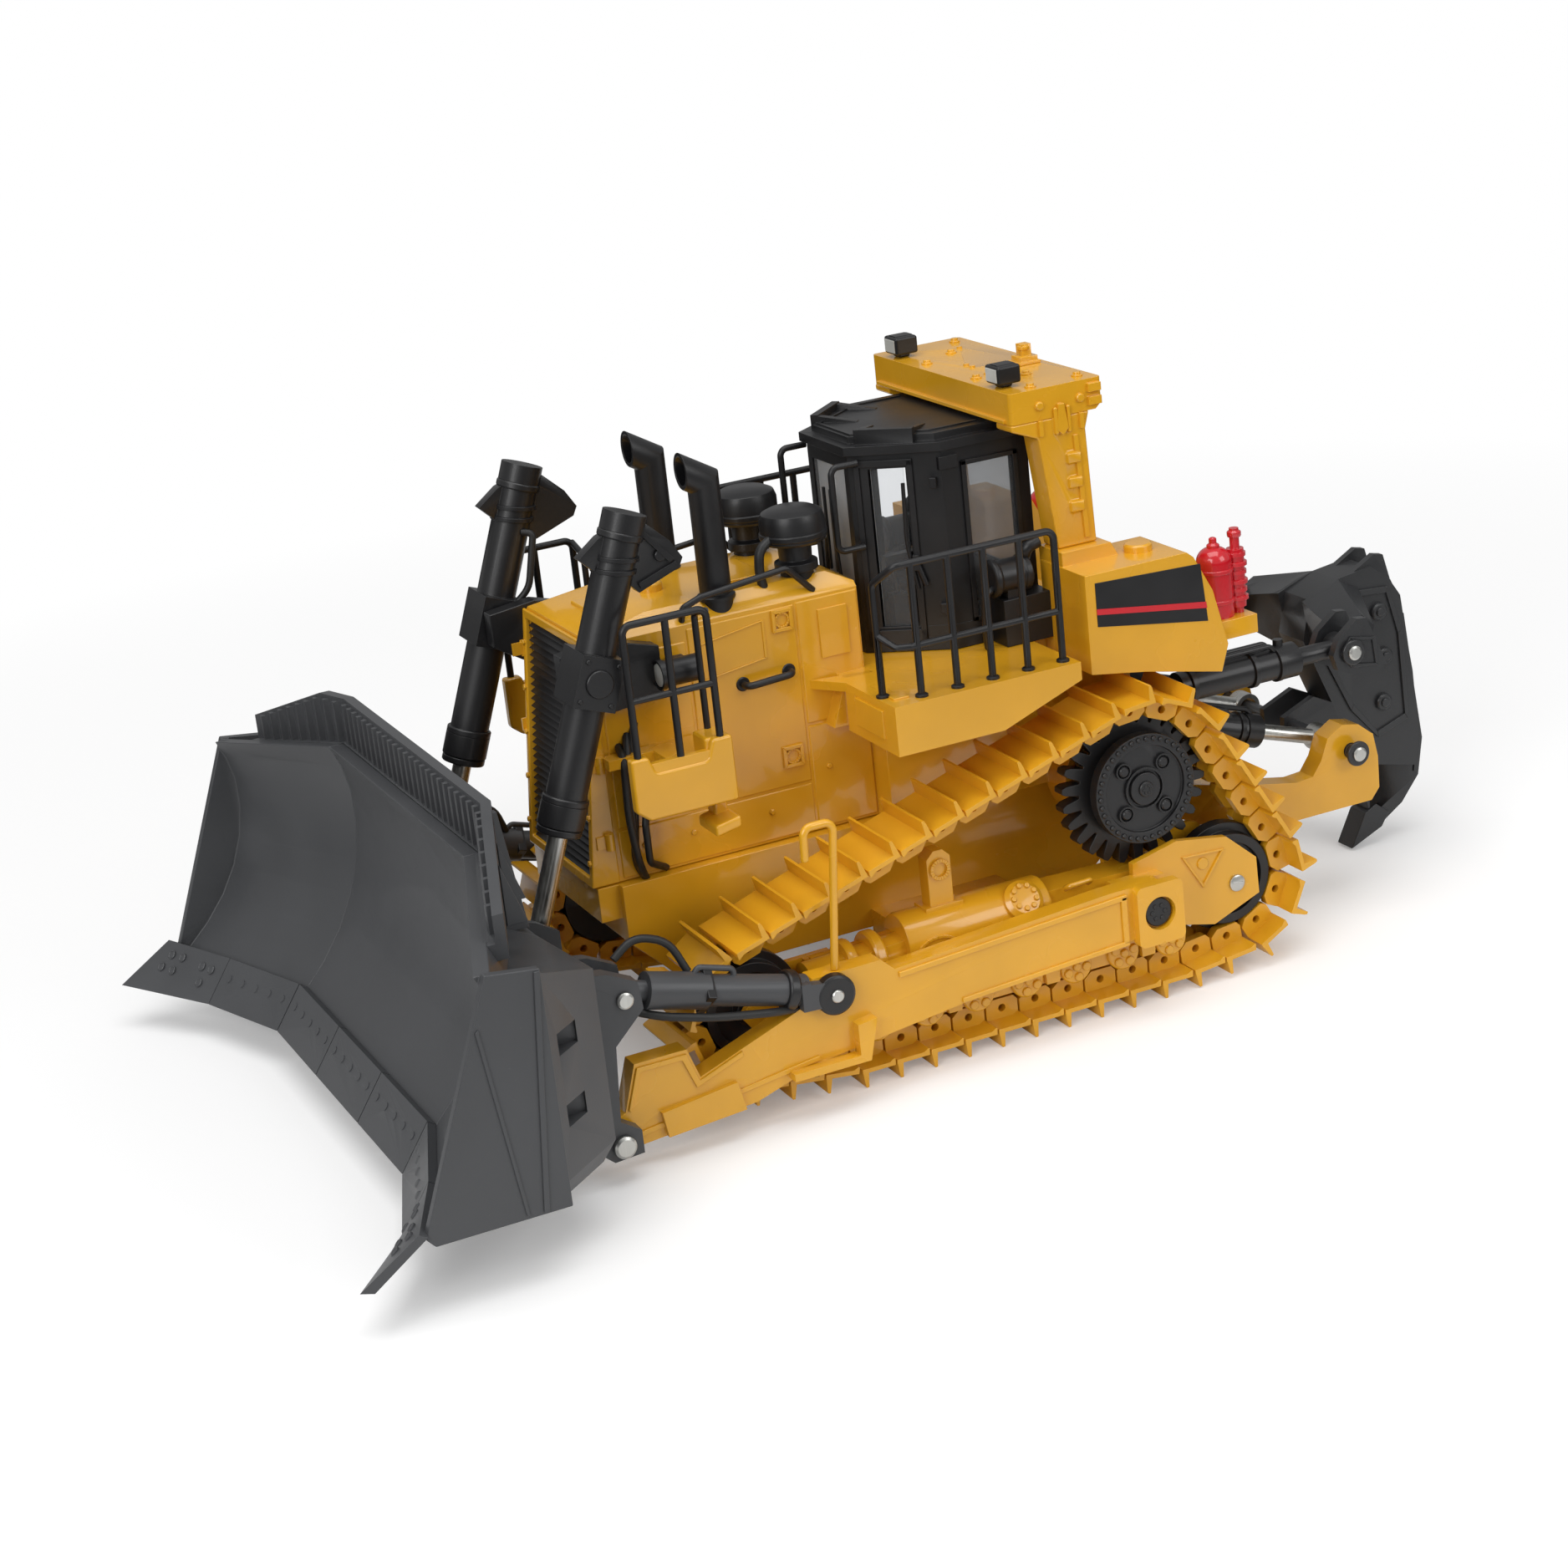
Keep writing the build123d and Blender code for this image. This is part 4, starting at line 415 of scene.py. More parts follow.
def ring(x, z, radius, count, phase=0.0):
    """Evenly spaced points on a circle."""
    turns = [phase + 2 * pi * i / count for i in range(count)]
    return [(x + radius * cos(turn), z + radius * sin(turn)) for turn in turns]


def square(x, z, half):
    return [(x - half, z - half), (x + half, z - half), (x + half, z + half), (x - half, z + half)]


def outward(y, side, start, end):
    """Low and high y of a slab that stands off a face at y, towards the machine's side."""
    return sorted((y + side * start, y + side * end))


# ---------------------------------------------------------------- frame measures
def span(node):
    """Low and high corner of a frame node in millimetres."""
    low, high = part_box(node)
    return [v / MM for v in low], [v / MM for v in high]


def joint(name):
    return next(row for row in frame["joints"] if row["name"] == name)


def pin(name):
    """Where a hinge's pin crosses its body, in millimetres."""
    return Vector([v / MM for v in joint(name)["pos_m"]])


# ---------------------------------------------------------------- pieces
def clean(bm):
    """Weld doubled vertices and join coplanar faces."""
    bmesh.ops.remove_doubles(bm, verts=bm.verts, dist=WELD * MM)
    bmesh.ops.dissolve_limit(bm, angle_limit=FLAT, verts=bm.verts, edges=bm.edges)


def soften(piece, edge, segments):
    """Round a piece's sharp edges and shade it smoothly."""
    if edge > 0:
        bevel = piece.modifiers.new("edge_radius", "BEVEL")
        bevel.width = edge * MM
        bevel.segments = segments
        bevel.limit_method = "ANGLE"
        bevel.angle_limit = radians(32.0)
        bevel.use_clamp_overlap = True
        bevel.harden_normals = True
        bevel.miter_outer = "MITER_ARC"
    for polygon in piece.data.polygons:
        polygon.use_smooth = True
    piece.data.set_sharp_from_angle(angle=SHARP)


def place_piece(name, mesh, finish, body, replaces=(), edge=0.12, segments=2):
    """One visible piece that rides a body and may stand in for frame nodes."""
    piece = bpy.data.objects.new(name, mesh)
    bpy.context.scene.collection.objects.link(piece)
    piece.data.materials.append(FINISHES[finish])
    soften(piece, edge, segments)
    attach(piece, body)
    if replaces:
        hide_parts(*replaces)
    return piece


def fit(name, form, finish, body="body", edge=0.12, segments=2, replaces=()):
    """A piece from its form, in the material slot of its finish."""
    return place_piece(name, form.mesh(name), finish, body, replaces, edge, segments)


def cast(node, finish, edge, cuts=None, segments=2):
    """A frame node's shape with cut detail and rounded edges, shown in its place."""
    source = frame["nodes"][node]
    name = node + "_shape"
    bm = bmesh.new()
    bm.from_mesh(source.data)
    clean(bm)
    mesh = bpy.data.meshes.new(name)
    bm.to_mesh(mesh)
    bm.free()
    if cuts is not None:
        mesh = cut_mesh(mesh, cuts)
    return place_piece(name, mesh, finish, source["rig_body"], (node,), edge, segments)


def cast_all(finish, edge, *nodes):
    for node in nodes:
        cast(node, finish, edge)


def cut_mesh(mesh, cuts):
    """Take the cutter form out of a mesh."""
    whole = bpy.data.objects.new("whole", mesh)
    tool = bpy.data.objects.new("tool", cuts.mesh("tool"))
    for item in (whole, tool):
        bpy.context.scene.collection.objects.link(item)
    cut = whole.modifiers.new("cut", "BOOLEAN")
    cut.operation = "DIFFERENCE"
    cut.solver = "EXACT"
    cut.object = tool
    bpy.context.view_layer.update()
    shaped = whole.evaluated_get(bpy.context.evaluated_depsgraph_get())
    result = bpy.data.meshes.new_from_object(shaped)
    result.name = mesh.name
    for item in (whole, tool):
        bpy.data.objects.remove(item)
    bm = bmesh.new()
    bm.from_mesh(result)
    clean(bm)
    bm.to_mesh(result)
    bm.free()
    return result


# ---------------------------------------------------------------- blade
def side_pockets():
    """Square sinks in the outer ends of the blade's rear boxes."""
    end = span("blade_back")[1][1]
    depth, past, height = 5.3, 3.5, 3.2
    pockets = Form()
    for low in (30.4, 20.0):
        for side in SIDES:
            pockets.box(70.6, 74.4, *outward(side * end, side, -depth, past), low, low + height)
    return pockets


def side_creases():
    """Two raised lines down each side plate."""
    face = span("blade_wing_left")[1][1]
    creases = Form()
    creases.prism([(85.9, 38.6), (86.4, 38.2), (83.0, 10.8), (82.5, 10.8)], "Y", face - 0.1, face + 0.25)
    creases.prism([(76.6, 44.4), (77.4, 44.4), (80.6, 10.6), (79.8, 10.6)], "Y", face - 0.1, face + 0.3)
    return creases


def bit_bolts():
    """Dished bolt heads on the end bits, placed across the bit's four corners."""
    inner_top, inner_low = Vector((91.7, 49.9, 12.7)), Vector((96.5, 49.9, 5.9))
    outer_top, outer_low = Vector((98.0, 64.3, 12.9)), Vector((107.0, 64.3, 7.2))
    front = (0.72, -0.24, 0.65)
    head = [(0.78, -0.5), (0.78, 0.14), (0.62, 0.24), (0.5, 0.12), (0.0, 0.10)]
    heads = Form()
    for across, down in ((0.16, 0.32), (0.30, 0.30), (0.22, 0.62), (0.62, 0.24), (0.78, 0.24), (0.62, 0.52),
                         (0.78, 0.5)):
        place = inner_top.lerp(inner_low, down).lerp(outer_top.lerp(outer_low, down), across)
        heads.lathe(head, place, front, 20)
    return heads


def guard_gussets():
    """Upright ribs behind the spill guard's middle and its angled ends."""
    shelf = span("spill_guard")[0][0]
    corner = span("blade_centre")[1][1]
    end_slope, half = 0.3376, 0.6
    gussets = Form()
    for y in (36.6, 45.0):
        x = shelf + (y - corner) * end_slope
        gussets.prism([(x - 3.0, 44.0), (x + 0.1, 44.0), (x + 0.1, 53.0)], "Y", y - half, y + half)
    x = shelf + 0.2
    for y in (7.0, 21.0, 30.0):
        gussets.prism([(x - 3.4, 37.0), (x, 37.0), (x, 55.0), (x - 1.0, 55.0)], "Y", y - half, y + half)
    return gussets


class BULLDOZER_OT_blade(bpy.types.Operator):
    """Blade with its spill guard, cutting edges and rear boxes"""

    bl_idname = "bulldozer.blade"
    bl_label = "Blade"

    def execute(self, context):
        edge = context.scene.bulldozer_sizes.plate_edge / MM
        cast_all("grey", edge, "blade_centre", "blade_wing_left", "blade_wing_right")
        cast_all("grey", 0.16, "spill_guard")
        cast_all("grey", 0.14, "cutting_edges")
        cast("blade_back", "grey", 0.25, cuts=side_pockets())
        fit("blade_side_creases", side_creases().mirrored(), "grey", "blade", 0.1)
        fit("end_bit_bolts", bit_bolts().mirrored(), "grey", "blade", 0.0)
        fit("spill_guard_gussets", guard_gussets().mirrored(), "grey", "blade")
        return {"FINISHED"}


# ---------------------------------------------------------------- push arms
BRACE_PIN = Vector((24.9, 38.3, 18.6))
BRACE_LINE = Vector((0.965, 0.0, 0.263)).normalized()


def arm_ridges():
    """Raised edges on the outer face of a push arm."""
    face = 39.4
    low, high = face - 0.1, face + 0.4
    ridges = Form()
    ridges.prism([(-25.0, 20.9), (14.0, 18.8), (14.0, 17.9), (-25.0, 20.0)], "Y", low, high)
    ridges.prism([(-25.0, 13.4), (4.0, 11.9), (4.0, 11.1), (-25.0, 12.6)], "Y", low, high)
    ridges.box(-25.0, -24.0, low, high, 13.0, 20.6)
    ridges.prism([(28.0, 8.7), (60.0, 4.6), (60.0, 5.4), (28.0, 9.5)], "Y", low, high - 0.05)
    ridges.prism([(40.0, 13.6), (47.0, 11.0), (48.6, 15.6), (56.4, 15.6), (58.4, 9.4), (58.0, 9.2),
                  (55.8, 14.8), (49.4, 14.8), (47.6, 10.0), (39.8, 12.8)], "Y", low, high - 0.05)
    return ridges


def brace_collars():
    """Rear boss, square nut and collar of a tilt brace."""
    collars = Form()
    collars.stud(3.1, 2.7, 1.5, 1.8, (BRACE_PIN.x, 39.45, BRACE_PIN.z), (0, 1, 0))
    collars.lathe([(3.5, 0.0), (3.5, 1.4)], BRACE_PIN + BRACE_LINE * 19.38, BRACE_LINE, 4)
    collars.collar(2.8, 3.0, 1.8, 0.3, BRACE_PIN + BRACE_LINE * 5.7, BRACE_LINE, 32)
    return collars


def brace_pins():
    """Steel pin ends: brace on arm, brace on blade, arm on blade."""
    pins = Form()
    pins.stud(1.0, 0.8, 0.3, 0.5, (BRACE_PIN.x, 41.2, BRACE_PIN.z), (0, 1, 0))
    pins.stud(1.25, 0.95, 0.4, 0.6, (57.9, 42.7, 27.6), (0, 1, 0))
    pins.stud(1.7, 1.3, 0.5, 0.8, (60.8, 42.9, 5.9), (0, 1, 0))
    return pins


def brace_hoses():
    """Two hoses along and behind a tilt brace."""
    hoses = Form()
    hoses.tube([(30.0, 38.4, 17.2), (34.0, 40.6, 18.4), (44.0, 41.4, 20.6), (52.0, 40.4, 22.6),
                (56.4, 38.0, 24.2)], 0.62, 3.0)
    hoses.tube([(56.5, 36.2, 31.2), (53.0, 35.6, 33.5), (48.0, 36.2, 32.0), (46.0, 37.4, 27.0)], 0.6, 3.0)
    return hoses


class BULLDOZER_OT_push_arms(bpy.types.Operator):
    """Push arms, tilt braces and their step loops"""

    bl_idname = "bulldozer.push_arms"
    bl_label = "Push Arms"

    def execute(self, context):
        edge = context.scene.bulldozer_sizes.casting_edge / MM
        cast_all("yellow", edge, "push_arm_left", "push_arm_right")
        cast_all("yellow", 0.2, "step_loops")
        cast_all("grey", 0.2, "tilt_braces")
        fit("push_arm_ridges", arm_ridges().mirrored(), "yellow", "blade", 0.15)
        fit("brace_collars", brace_collars().mirrored(), "black_metal", "blade")
        fit("brace_pins", brace_pins().mirrored(), "steel", "blade", 0.05)
        fit("brace_hoses", brace_hoses().mirrored(), "hose", "blade", 0.0)
        return {"FINISHED"}


# ---------------------------------------------------------------- lift cylinders
def lift_bands(side, trunnion, line):
    """Barrel bands, guard plate straps and the trunnion cover of one cylinder."""
    bands = Form()
    for distance, radius in ((-21.6, 3.2), (17.4, 3.3), (21.9, 3.2)):
        bands.collar(radius, radius + 0.15, 1.1, 0.2, trunnion + line * distance, line, 40)
    for distance in (-18.2, -16.4):
        bands.collar(3.0, 3.35, 0.8, 0.1, trunnion + line * distance, (0.2, 0.0, -0.98), 40)
    plate = trunnion.y + side * 1.0
    for strip, height in (([(34.4, 82.6), (38.8, 87.8), (39.4, 87.4), (35.2, 82.2)], 0.6),
                          ([(33.9, 81.4), (39.9, 79.3), (40.2, 80.1), (34.2, 82.2)], 0.4)):
        bands.prism(strip, "Y", *outward(plate, side, 0.0, height))
    bands.disc(36.4, plate, 83.4, 0.9, 0.5, side, 20)
    cover = trunnion.y + side * 3.5
    bands.disc(trunnion.x, cover, trunnion.z, 2.1, 0.5, side)
    across = Vector((-line.z, 0.0, line.x))
    reach, spread = 2.9, 2.4
    for along, aside in ((-reach, -spread), (reach, -spread), (reach, spread), (-reach, spread)):
        place = trunnion + line * along + across * aside
        bands.disc(place.x, cover, place.z, 0.4, 0.35, side, 6)
    return bands


def lift_pipe(side, trunnion, line):
    """Feed pipe down the inner side of one barrel."""
    start, end = trunnion + line * -14.0, trunnion + line * -3.0
    near = trunnion.y - side * 2.6
    far = near - side * 0.8
    return Form().tube([(start.x - 1.0, near, start.z), (start.x - 2.6, far, start.z - 0.4),
                        (end.x - 4.6, far, end.z + 1.6), (end.x - 2.4, near, end.z - 0.6)], 0.55, 2.0)


class BULLDOZER_OT_lift(bpy.types.Operator):
    """Lift cylinders with guards, trunnions and hoses"""

    bl_idname = "bulldozer.lift"
    bl_label = "Lift Cylinders"

    def execute(self, context):
        cast_all("black_metal", 0.22, "lift_barrel_left", "lift_barrel_right", "lift_yokes")
        cast_all("steel", 0.05, "lift_rod_left", "lift_rod_right")
        for side, word in SIDE_NAMES.items():
            trunnion = pin(f"{word}_lift_swing")
            line = Vector(joint(f"{word}_lift_stroke")["axis"])
            barrel = f"{word}_lift_barrel"
            fit(f"lift_cylinder_bands_{word}", lift_bands(side, trunnion, line), "black_metal", barrel, 0.06)
            fit(f"lift_cylinder_pipes_{word}", lift_pipe(side, trunnion, line), "hose", barrel, 0.0)
        return {"FINISHED"}


# ---------------------------------------------------------------- hood
def hood_panels(flank):
    """Side doors, with the gaps between them as seams."""
    panels = Form()
    for x0, x1, z0, z1 in ((2.4, 12.5, 50.3, 69.4), (2.4, 12.5, 33.6, 49.9), (12.9, 30.4, 41.4, 69.2),
                           (12.9, 45.0, 33.6, 41.0), (30.8, 44.8, 41.4, 67.4)):
        panels.box(x0, x1, flank - 0.2, flank + 0.25, z0, z1)
    return panels


def hood_trim(flank):
    """Latches, sign plate, bolts and the corner box on a side of the hood."""
    low = flank + 0.1
    trim = Form()
    for x, z in ((15.1, 67.3), (15.6, 46.0)):
        trim.border(square(x, z, 1.7), "Y", low, low + 0.65, 0.8)
        trim.border(ring(x, z, 1.25, 16), "Y", low, low + 0.5, 0.35)
    trim.box(4.4, 9.2, low, low + 0.5, 60.0, 67.6)
    trim.border([(18.0, 62.0), (29.0, 60.6), (29.0, 66.4), (18.0, 68.0)], "Y", low, low + 0.35, 0.5)
    for x, z in ((9.8, 43.0), (20.0, 38.0), (33.0, 38.0), (41.0, 38.0), (33.4, 57.0), (33.4, 50.0),
                 (33.4, 44.0)):
        trim.disc(x, low + 0.1, z, 0.5, 0.4, 1, 6)
    trim.prism([(2.2, 49.6), (9.6, 49.6), (7.0, 57.0), (2.2, 57.0)], "Y", flank - 0.1, flank + 3.2)
    return trim


def hood_top():
    """Two flat pads and the filler cap on top."""
    top = Form()
    top.box(13.4, 20.0, -5.6, 5.6, 72.2, 72.75)
    top.box(34.0, 41.0, -5.6, 5.6, 71.0, 71.9)
    top.stud(1.8, 1.4, 1.2, 1.6, (30.0, 0.0, 72.2), (0, 0, 1))
    return top


def guard_hinges(flank):
    """Bolts down the leaning front of the radiator guard and hinges at its side."""
    foot, head, lean = 33.2, 68.6, 3.8
    hinges = Form()
    for z in (37.0, 44.0, 51.0, 58.0, 65.0):
        x = 50.0 - lean * (z - foot) / (head - foot)
        hinges.stud(0.5, 0.35, 0.4, 0.5, (x, flank - 0.35, z), (1, 0, 0.11), 6)
    for z in (40.0, 52.0, 64.0):
        hinges.lathe([(0.7, -1.3), (0.7, 1.3)], (46.6, flank + 0.7, z), (0, 0, 1), 16)
        hinges.box(45.8, 48.6, flank + 0.1, flank + 0.6, z - 1.0, z + 1.0)
    return hinges


def hose_bundle():
    """Three hoses that run down beside the radiator guard."""
    pitch, stagger = 1.5, 0.9
    bundle = Form()
    for i in range(3):
        lift, y = pitch * i, 14.6 + stagger * i
        bundle.tube([(40.2 + lift, 13.0, 57.0 - lift), (42.0 + lift * 0.6, y, 53.0),
                     (42.4 + lift * 0.6, y, 44.0), (43.2, y - 0.5, 36.0), (41.4, 13.2, 32.6)], 0.6, 3.0)
    return bundle


class BULLDOZER_OT_hood(bpy.types.Operator):
    """Engine hood, radiator guard and louvres"""

    bl_idname = "bulldozer.hood"
    bl_label = "Hood"

    def execute(self, context):
        flank = span("hood")[1][1]
        cast("hood", "yellow", context.scene.bulldozer_sizes.hood_edge / MM, segments=3)
        cast_all("yellow", 0.25, "grille_frame")
        cast_all("black", 0.03, "radiator_grille")
        cast_all("hose", 0.0, "hydraulic_hoses")
        fit("hood_side_panels", hood_panels(flank).mirrored(), "yellow", "body", 0.25)
        fit("hood_side_trim", hood_trim(flank).mirrored(), "yellow", "body", 0.2)
        fit("hood_top_pads", hood_top(), "yellow", "body", 0.25)
        fit("radiator_guard_hinges", guard_hinges(flank).mirrored(), "yellow", "body", 0.06)
        fit("hose_bundle", hose_bundle().mirrored(), "hose", "body", 0.0)
        return {"FINISHED"}


# ---------------------------------------------------------------- stacks and lamps
def air_cleaners(x, y):
    """Turned bowls with a raised seam round each."""
    bowl = [(2.5, 66.0), (2.5, 73.0), (3.3, 73.2), (3.3, 74.4), (2.5, 74.8), (2.6, 77.2), (4.7, 77.5),
            (5.0, 77.9), (5.0, 80.9), (4.6, 82.0), (3.4, 82.55), (0.0, 82.7)]
    cleaners = Form().lathe(bowl, (x, y, 0), (0, 0, 1), 40)
    return cleaners.collar(5.05, 5.18, 1.0, 0.2, (x, y, 78.2), (0, 0, 1), 40)


class BULLDOZER_OT_stacks(bpy.types.Operator):
    """Exhaust stacks, air cleaners, handrails and work lamps"""

    bl_idname = "bulldozer.stacks"
    bl_label = "Stacks"

    def execute(self, context):
        cast_all("black", 0.12, "exhaust_stacks", "handrails", "work_lamps")
        low, high = span("precleaners")
        x, y = (low[0] + high[0]) / 2, high[1] - 4.2
        fit("air_cleaners", air_cleaners(x, y).mirrored(), "black", "body", 0.08, replaces=("precleaners",))
        elbow = Form().tube([(x + 4.2, y + 1.2, 78.8), (x + 6.6, y + 1.8, 77.6), (x + 7.0, y + 1.9, 74.0),
                             (x + 6.2, y + 1.6, 71.0)], 0.75, 2.0)
        fit("air_cleaner_hoses", elbow.mirrored(), "hose", "body", 0.0)
        clamp = Form().stud(2.9, 2.5, 0.5, 0.8, (23.8, 10.2, 72.0), (0, 0, 1))
        fit("stack_clamps", clamp.mirrored(), "black", "body", 0.0)
        lamp_y, lamp_z = 17.4, 64.6
        rim_profile = [(2.25, 0.0), (2.25, 0.9), (1.9, 0.9), (1.9, 0.5)]
        rim = Form().lathe(rim_profile, (36.4, lamp_y, lamp_z), (1, 0, 0))
        rim.box(32.0, 34.4, 14.0, 15.6, 63.4, 66.0)
        fit("work_lamp_rims", rim.mirrored(), "black", "body", 0.05)
        lens = Form().lathe([(1.85, 0.0), (1.7, 0.3), (0.0, 0.55)], (36.9, lamp_y, lamp_z), (1, 0, 0))
        fit("work_lamp_lenses", lens.mirrored(), "lens", "body", 0.0)
        feet = Form()
        for px, pz in ((22.4, 58.9), (14.8, 59.3)):
            feet.disc(px, span("hood")[1][1] - 0.05, pz, 1.1, 0.5)
        fit("grab_handle_feet", feet.mirrored(), "black", "body", 0.0)
        return {"FINISHED"}


# ---------------------------------------------------------------- cab
DOOR_FRONT, DOOR_BACK = Vector((-2.5, 8.1)), Vector((-8.3, 12.4))


def door_frame():
    """Raised frame, hinges and handle of the slanted cab door."""
    run = (DOOR_BACK - DOOR_FRONT).length
    along = (DOOR_BACK - DOOR_FRONT).normalized()
    out = Vector((along.y, -along.x))
    door = Form()

    def strip(start, end, low, high, depth):
        a, b = DOOR_FRONT + along * start, DOOR_FRONT + along * end
        door.prism([a, b, b + out * depth, a + out * depth], "Z", low, high)

    rail, foot, head = 0.9, 58.0, 87.0
    strip(-rail, 0.0, foot, head, 0.35)
    strip(run, run + rail, foot, head, 0.35)
    strip(-rail, run + rail, head - 0.8, head + 0.2, 0.35)
    strip(-rail, run + rail, foot, foot + 2.6, 0.35)
    for low in (63.0, 82.6):
        strip(run + 3.4, run + 4.4, low, low + 1.6, 0.9)
    strip(run - 0.2, run + 0.8, 70.0, 72.4, 1.0)
    return door


def wipers():
    """Wiper arms and blades before the windows."""
    blades = Form()
    blades.tube([(-8.2, 13.0, 67.0), (-7.2, 12.3, 74.0), (-7.4, 12.5, 83.6)], 0.32, 2.0)
    blades.tube([(-9.2, 13.7, 67.6), (-8.0, 12.9, 72.0)], 0.45)
    blades.tube([(-0.5, 3.0, 62.4), (-0.4, 1.6, 74.0)], 0.3)
    blades.box(-0.75, -0.35, 0.9, 1.4, 69.0, 82.0)
    return blades


def window_frame():
    """Thin surround of the side window and the drip rail over the door post."""
    pane = 15.2
    surround = Form()
    for z in (60.8, 85.2):
        surround.box(-25.4, -15.8, pane, pane + 0.55, z, z + 0.7)
    for x in (-25.4, -16.6):
        surround.box(x, x + 0.8, pane, pane + 0.55, 60.8, 85.9)
    surround.box(-15.2, -12.0, pane - 0.1, pane + 0.7, 85.2, 87.2)
    return surround


def deck_pump():
    """Pump, its base and its pipes on the deck beside the cab."""
    deck = span("fenders")[1][2]
    drum = [(2.6, 0.0), (3.0, 0.3), (3.0, 1.0), (2.6, 1.3), (2.6, 5.2), (2.9, 5.4), (2.9, 6.4), (1.4, 6.8)]
    pump = Form()
    pump.box(-27.0, -18.6, 15.6, 20.4, deck, deck + 7.4)
    pump.lathe(drum, (-17.4, 18.2, 67.6), (-1, 0, 0))
    pump.tube([(-23.6, 18.2, 69.4), (-23.6, 19.4, 71.6), (-25.8, 19.4, 72.2)], 1.0, 1.4)
    pump.box(-21.8, -19.6, 16.0, 20.0, 63.8, 66.0)
    pump.tube([(-18.4, 19.0, 66.4), (-15.6, 20.0, 66.0), (-15.2, 20.0, 60.0), (-16.0, 19.0, 57.2)], 0.55, 2.0)
    return pump


def roof_border():
    """A low ridge round the front and sides of the cab roof."""
    left = [(-2.6, 5.6), (-12.4, 12.8), (-20.6, 12.8), (-20.6, 12.3), (-12.6, 12.3), (-3.1, 5.3)]
    right = [(x, -y) for x, y in reversed(left)]
    return Form().prism(left + right, "Z", 90.6, 90.95)


class BULLDOZER_OT_cab(bpy.types.Operator):
    """Cab with doors, glazing, roof pods, seat and controls"""

    bl_idname = "bulldozer.cab"
    bl_label = "Cab"

    def execute(self, context):
        cast_all("black", 0.15, "cab_walls", "cab_pillars", "cab_roof", "seat", "control_console")
        cast_all("glazing", 0.0, "cab_windows")
        fit("door_frames", door_frame().mirrored(), "black", "body", 0.08)
        fit("wipers", wipers().mirrored(), "black", "body", 0.05)
        fit("side_window_frames", window_frame().mirrored(), "black", "body", 0.08)
        fit("deck_pump_unit", deck_pump().mirrored(), "black", "body", 0.2)
        fit("roof_border", roof_border(), "black", "body", 0.06)
        return {"FINISHED"}


# ---------------------------------------------------------------- roll-over guard
def guard_lugs(low, high):
    """Front lip, lifting lugs, side blocks and bolts of the roll-over guard."""
    face, front = high[1] - 0.1, high[0]
    lugs = Form()
    lugs.box(front - 0.4, front + 0.5, 0.0, 20.9, low[2] + 0.15, low[2] + 0.75)
    lugs.prism([(-30.6, 89.4), (-29.6, 88.4), (-28.6, 89.4), (-29.1, 93.2), (-30.1, 93.2)], "Y",
               face, face + 0.75)
    for x in (-33.4, -26.4):
        lugs.box(x, x + 0.7, face, face + 0.6, 88.8, 91.2)
        lugs.disc(x + 0.3, face, 93.4, 0.7, 0.6)
    for z in (92.0, 94.0):
        lugs.box(-36.6, -34.4, face, face + 0.7, z, z + 1.3)
    lugs.prism([(-33.0, 72.0), (-32.2, 72.0), (-31.4, 88.0), (-32.2, 88.0)], "Y", face, face + 0.45)
    bolt = [(0.9, 0.0), (0.9, 0.3), (0.6, 0.3), (0.6, 0.6), (0.45, 0.7)]
    for x, y in ((-34.6, 19.4), (-23.6, 8.0), (-30.0, 12.0), (-26.0, 20.4)):
        lugs.lathe(bolt, (x, y, high[2] - 3.05), (0, 0, 1), 20)
    return lugs


class BULLDOZER_OT_roof_guard(bpy.types.Operator):
    """Roll-over guard with its lamps, beacon and lifting lugs"""

    bl_idname = "bulldozer.roof_guard"
    bl_label = "Roof Guard"

    def execute(self, context):
        cast_all("yellow", 0.3, "rops_canopy", "rops_posts")
        low, high = span("rops_canopy")
        fit("roof_guard_lugs", guard_lugs(low, high).mirrored(), "yellow", "body", 0.1)
        beacon = Form().stud(1.0, 0.5, 0.5, 0.8, (-34.0, 4.5, high[2] - 0.85), (0, 0, 1), 20)
        beacon.box(-35.9, -32.2, 2.6, 6.4, high[2] - 3.0, high[2] - 2.5)
        fit("beacon_block", beacon, "yellow", "body")
        lamp_y = 16.6
        shell = Form().box(-25.6, -21.7, lamp_y - 2.1, lamp_y + 2.1, 96.6, 99.4)
        shell.box(-24.6, -22.6, lamp_y - 1.2, lamp_y + 1.2, 96.0, 96.8)
        fit("roof_lamp_shells", shell.mirrored(), "black", "body", 0.6, 3)
        lens = Form().box(-21.75, -21.55, lamp_y - 1.6, lamp_y + 1.6, 97.0, 99.0)
        fit("roof_lamp_lenses", lens.mirrored(), "lens", "body", 0.05)
        return {"FINISHED"}


# ---------------------------------------------------------------- walkways and tanks
def step_walls():
    """Sheet sides and treads of a front step box."""
    walls = Form()
    walls.prism([(46.6, 56.0), (43.8, 56.0), (42.8, 53.4), (34.8, 53.4), (33.8, 56.4), (30.6, 56.4),
                 (30.6, 46.4), (44.6, 46.4), (46.6, 48.0)], "Y", 24.9, 26.9)
    walls.box(30.6, 34.6, 21.0, 26.0, 46.4, 56.4)
    walls.prism([(30.4, 42.0), (34.6, 41.2), (34.6, 43.0), (30.4, 43.8)], "Y", 19.6, 26.4)
    walls.prism([(30.8, 43.0), (33.0, 43.0), (33.0, 47.0), (30.8, 47.0)], "Y", 19.6, 22.6)
    return walls


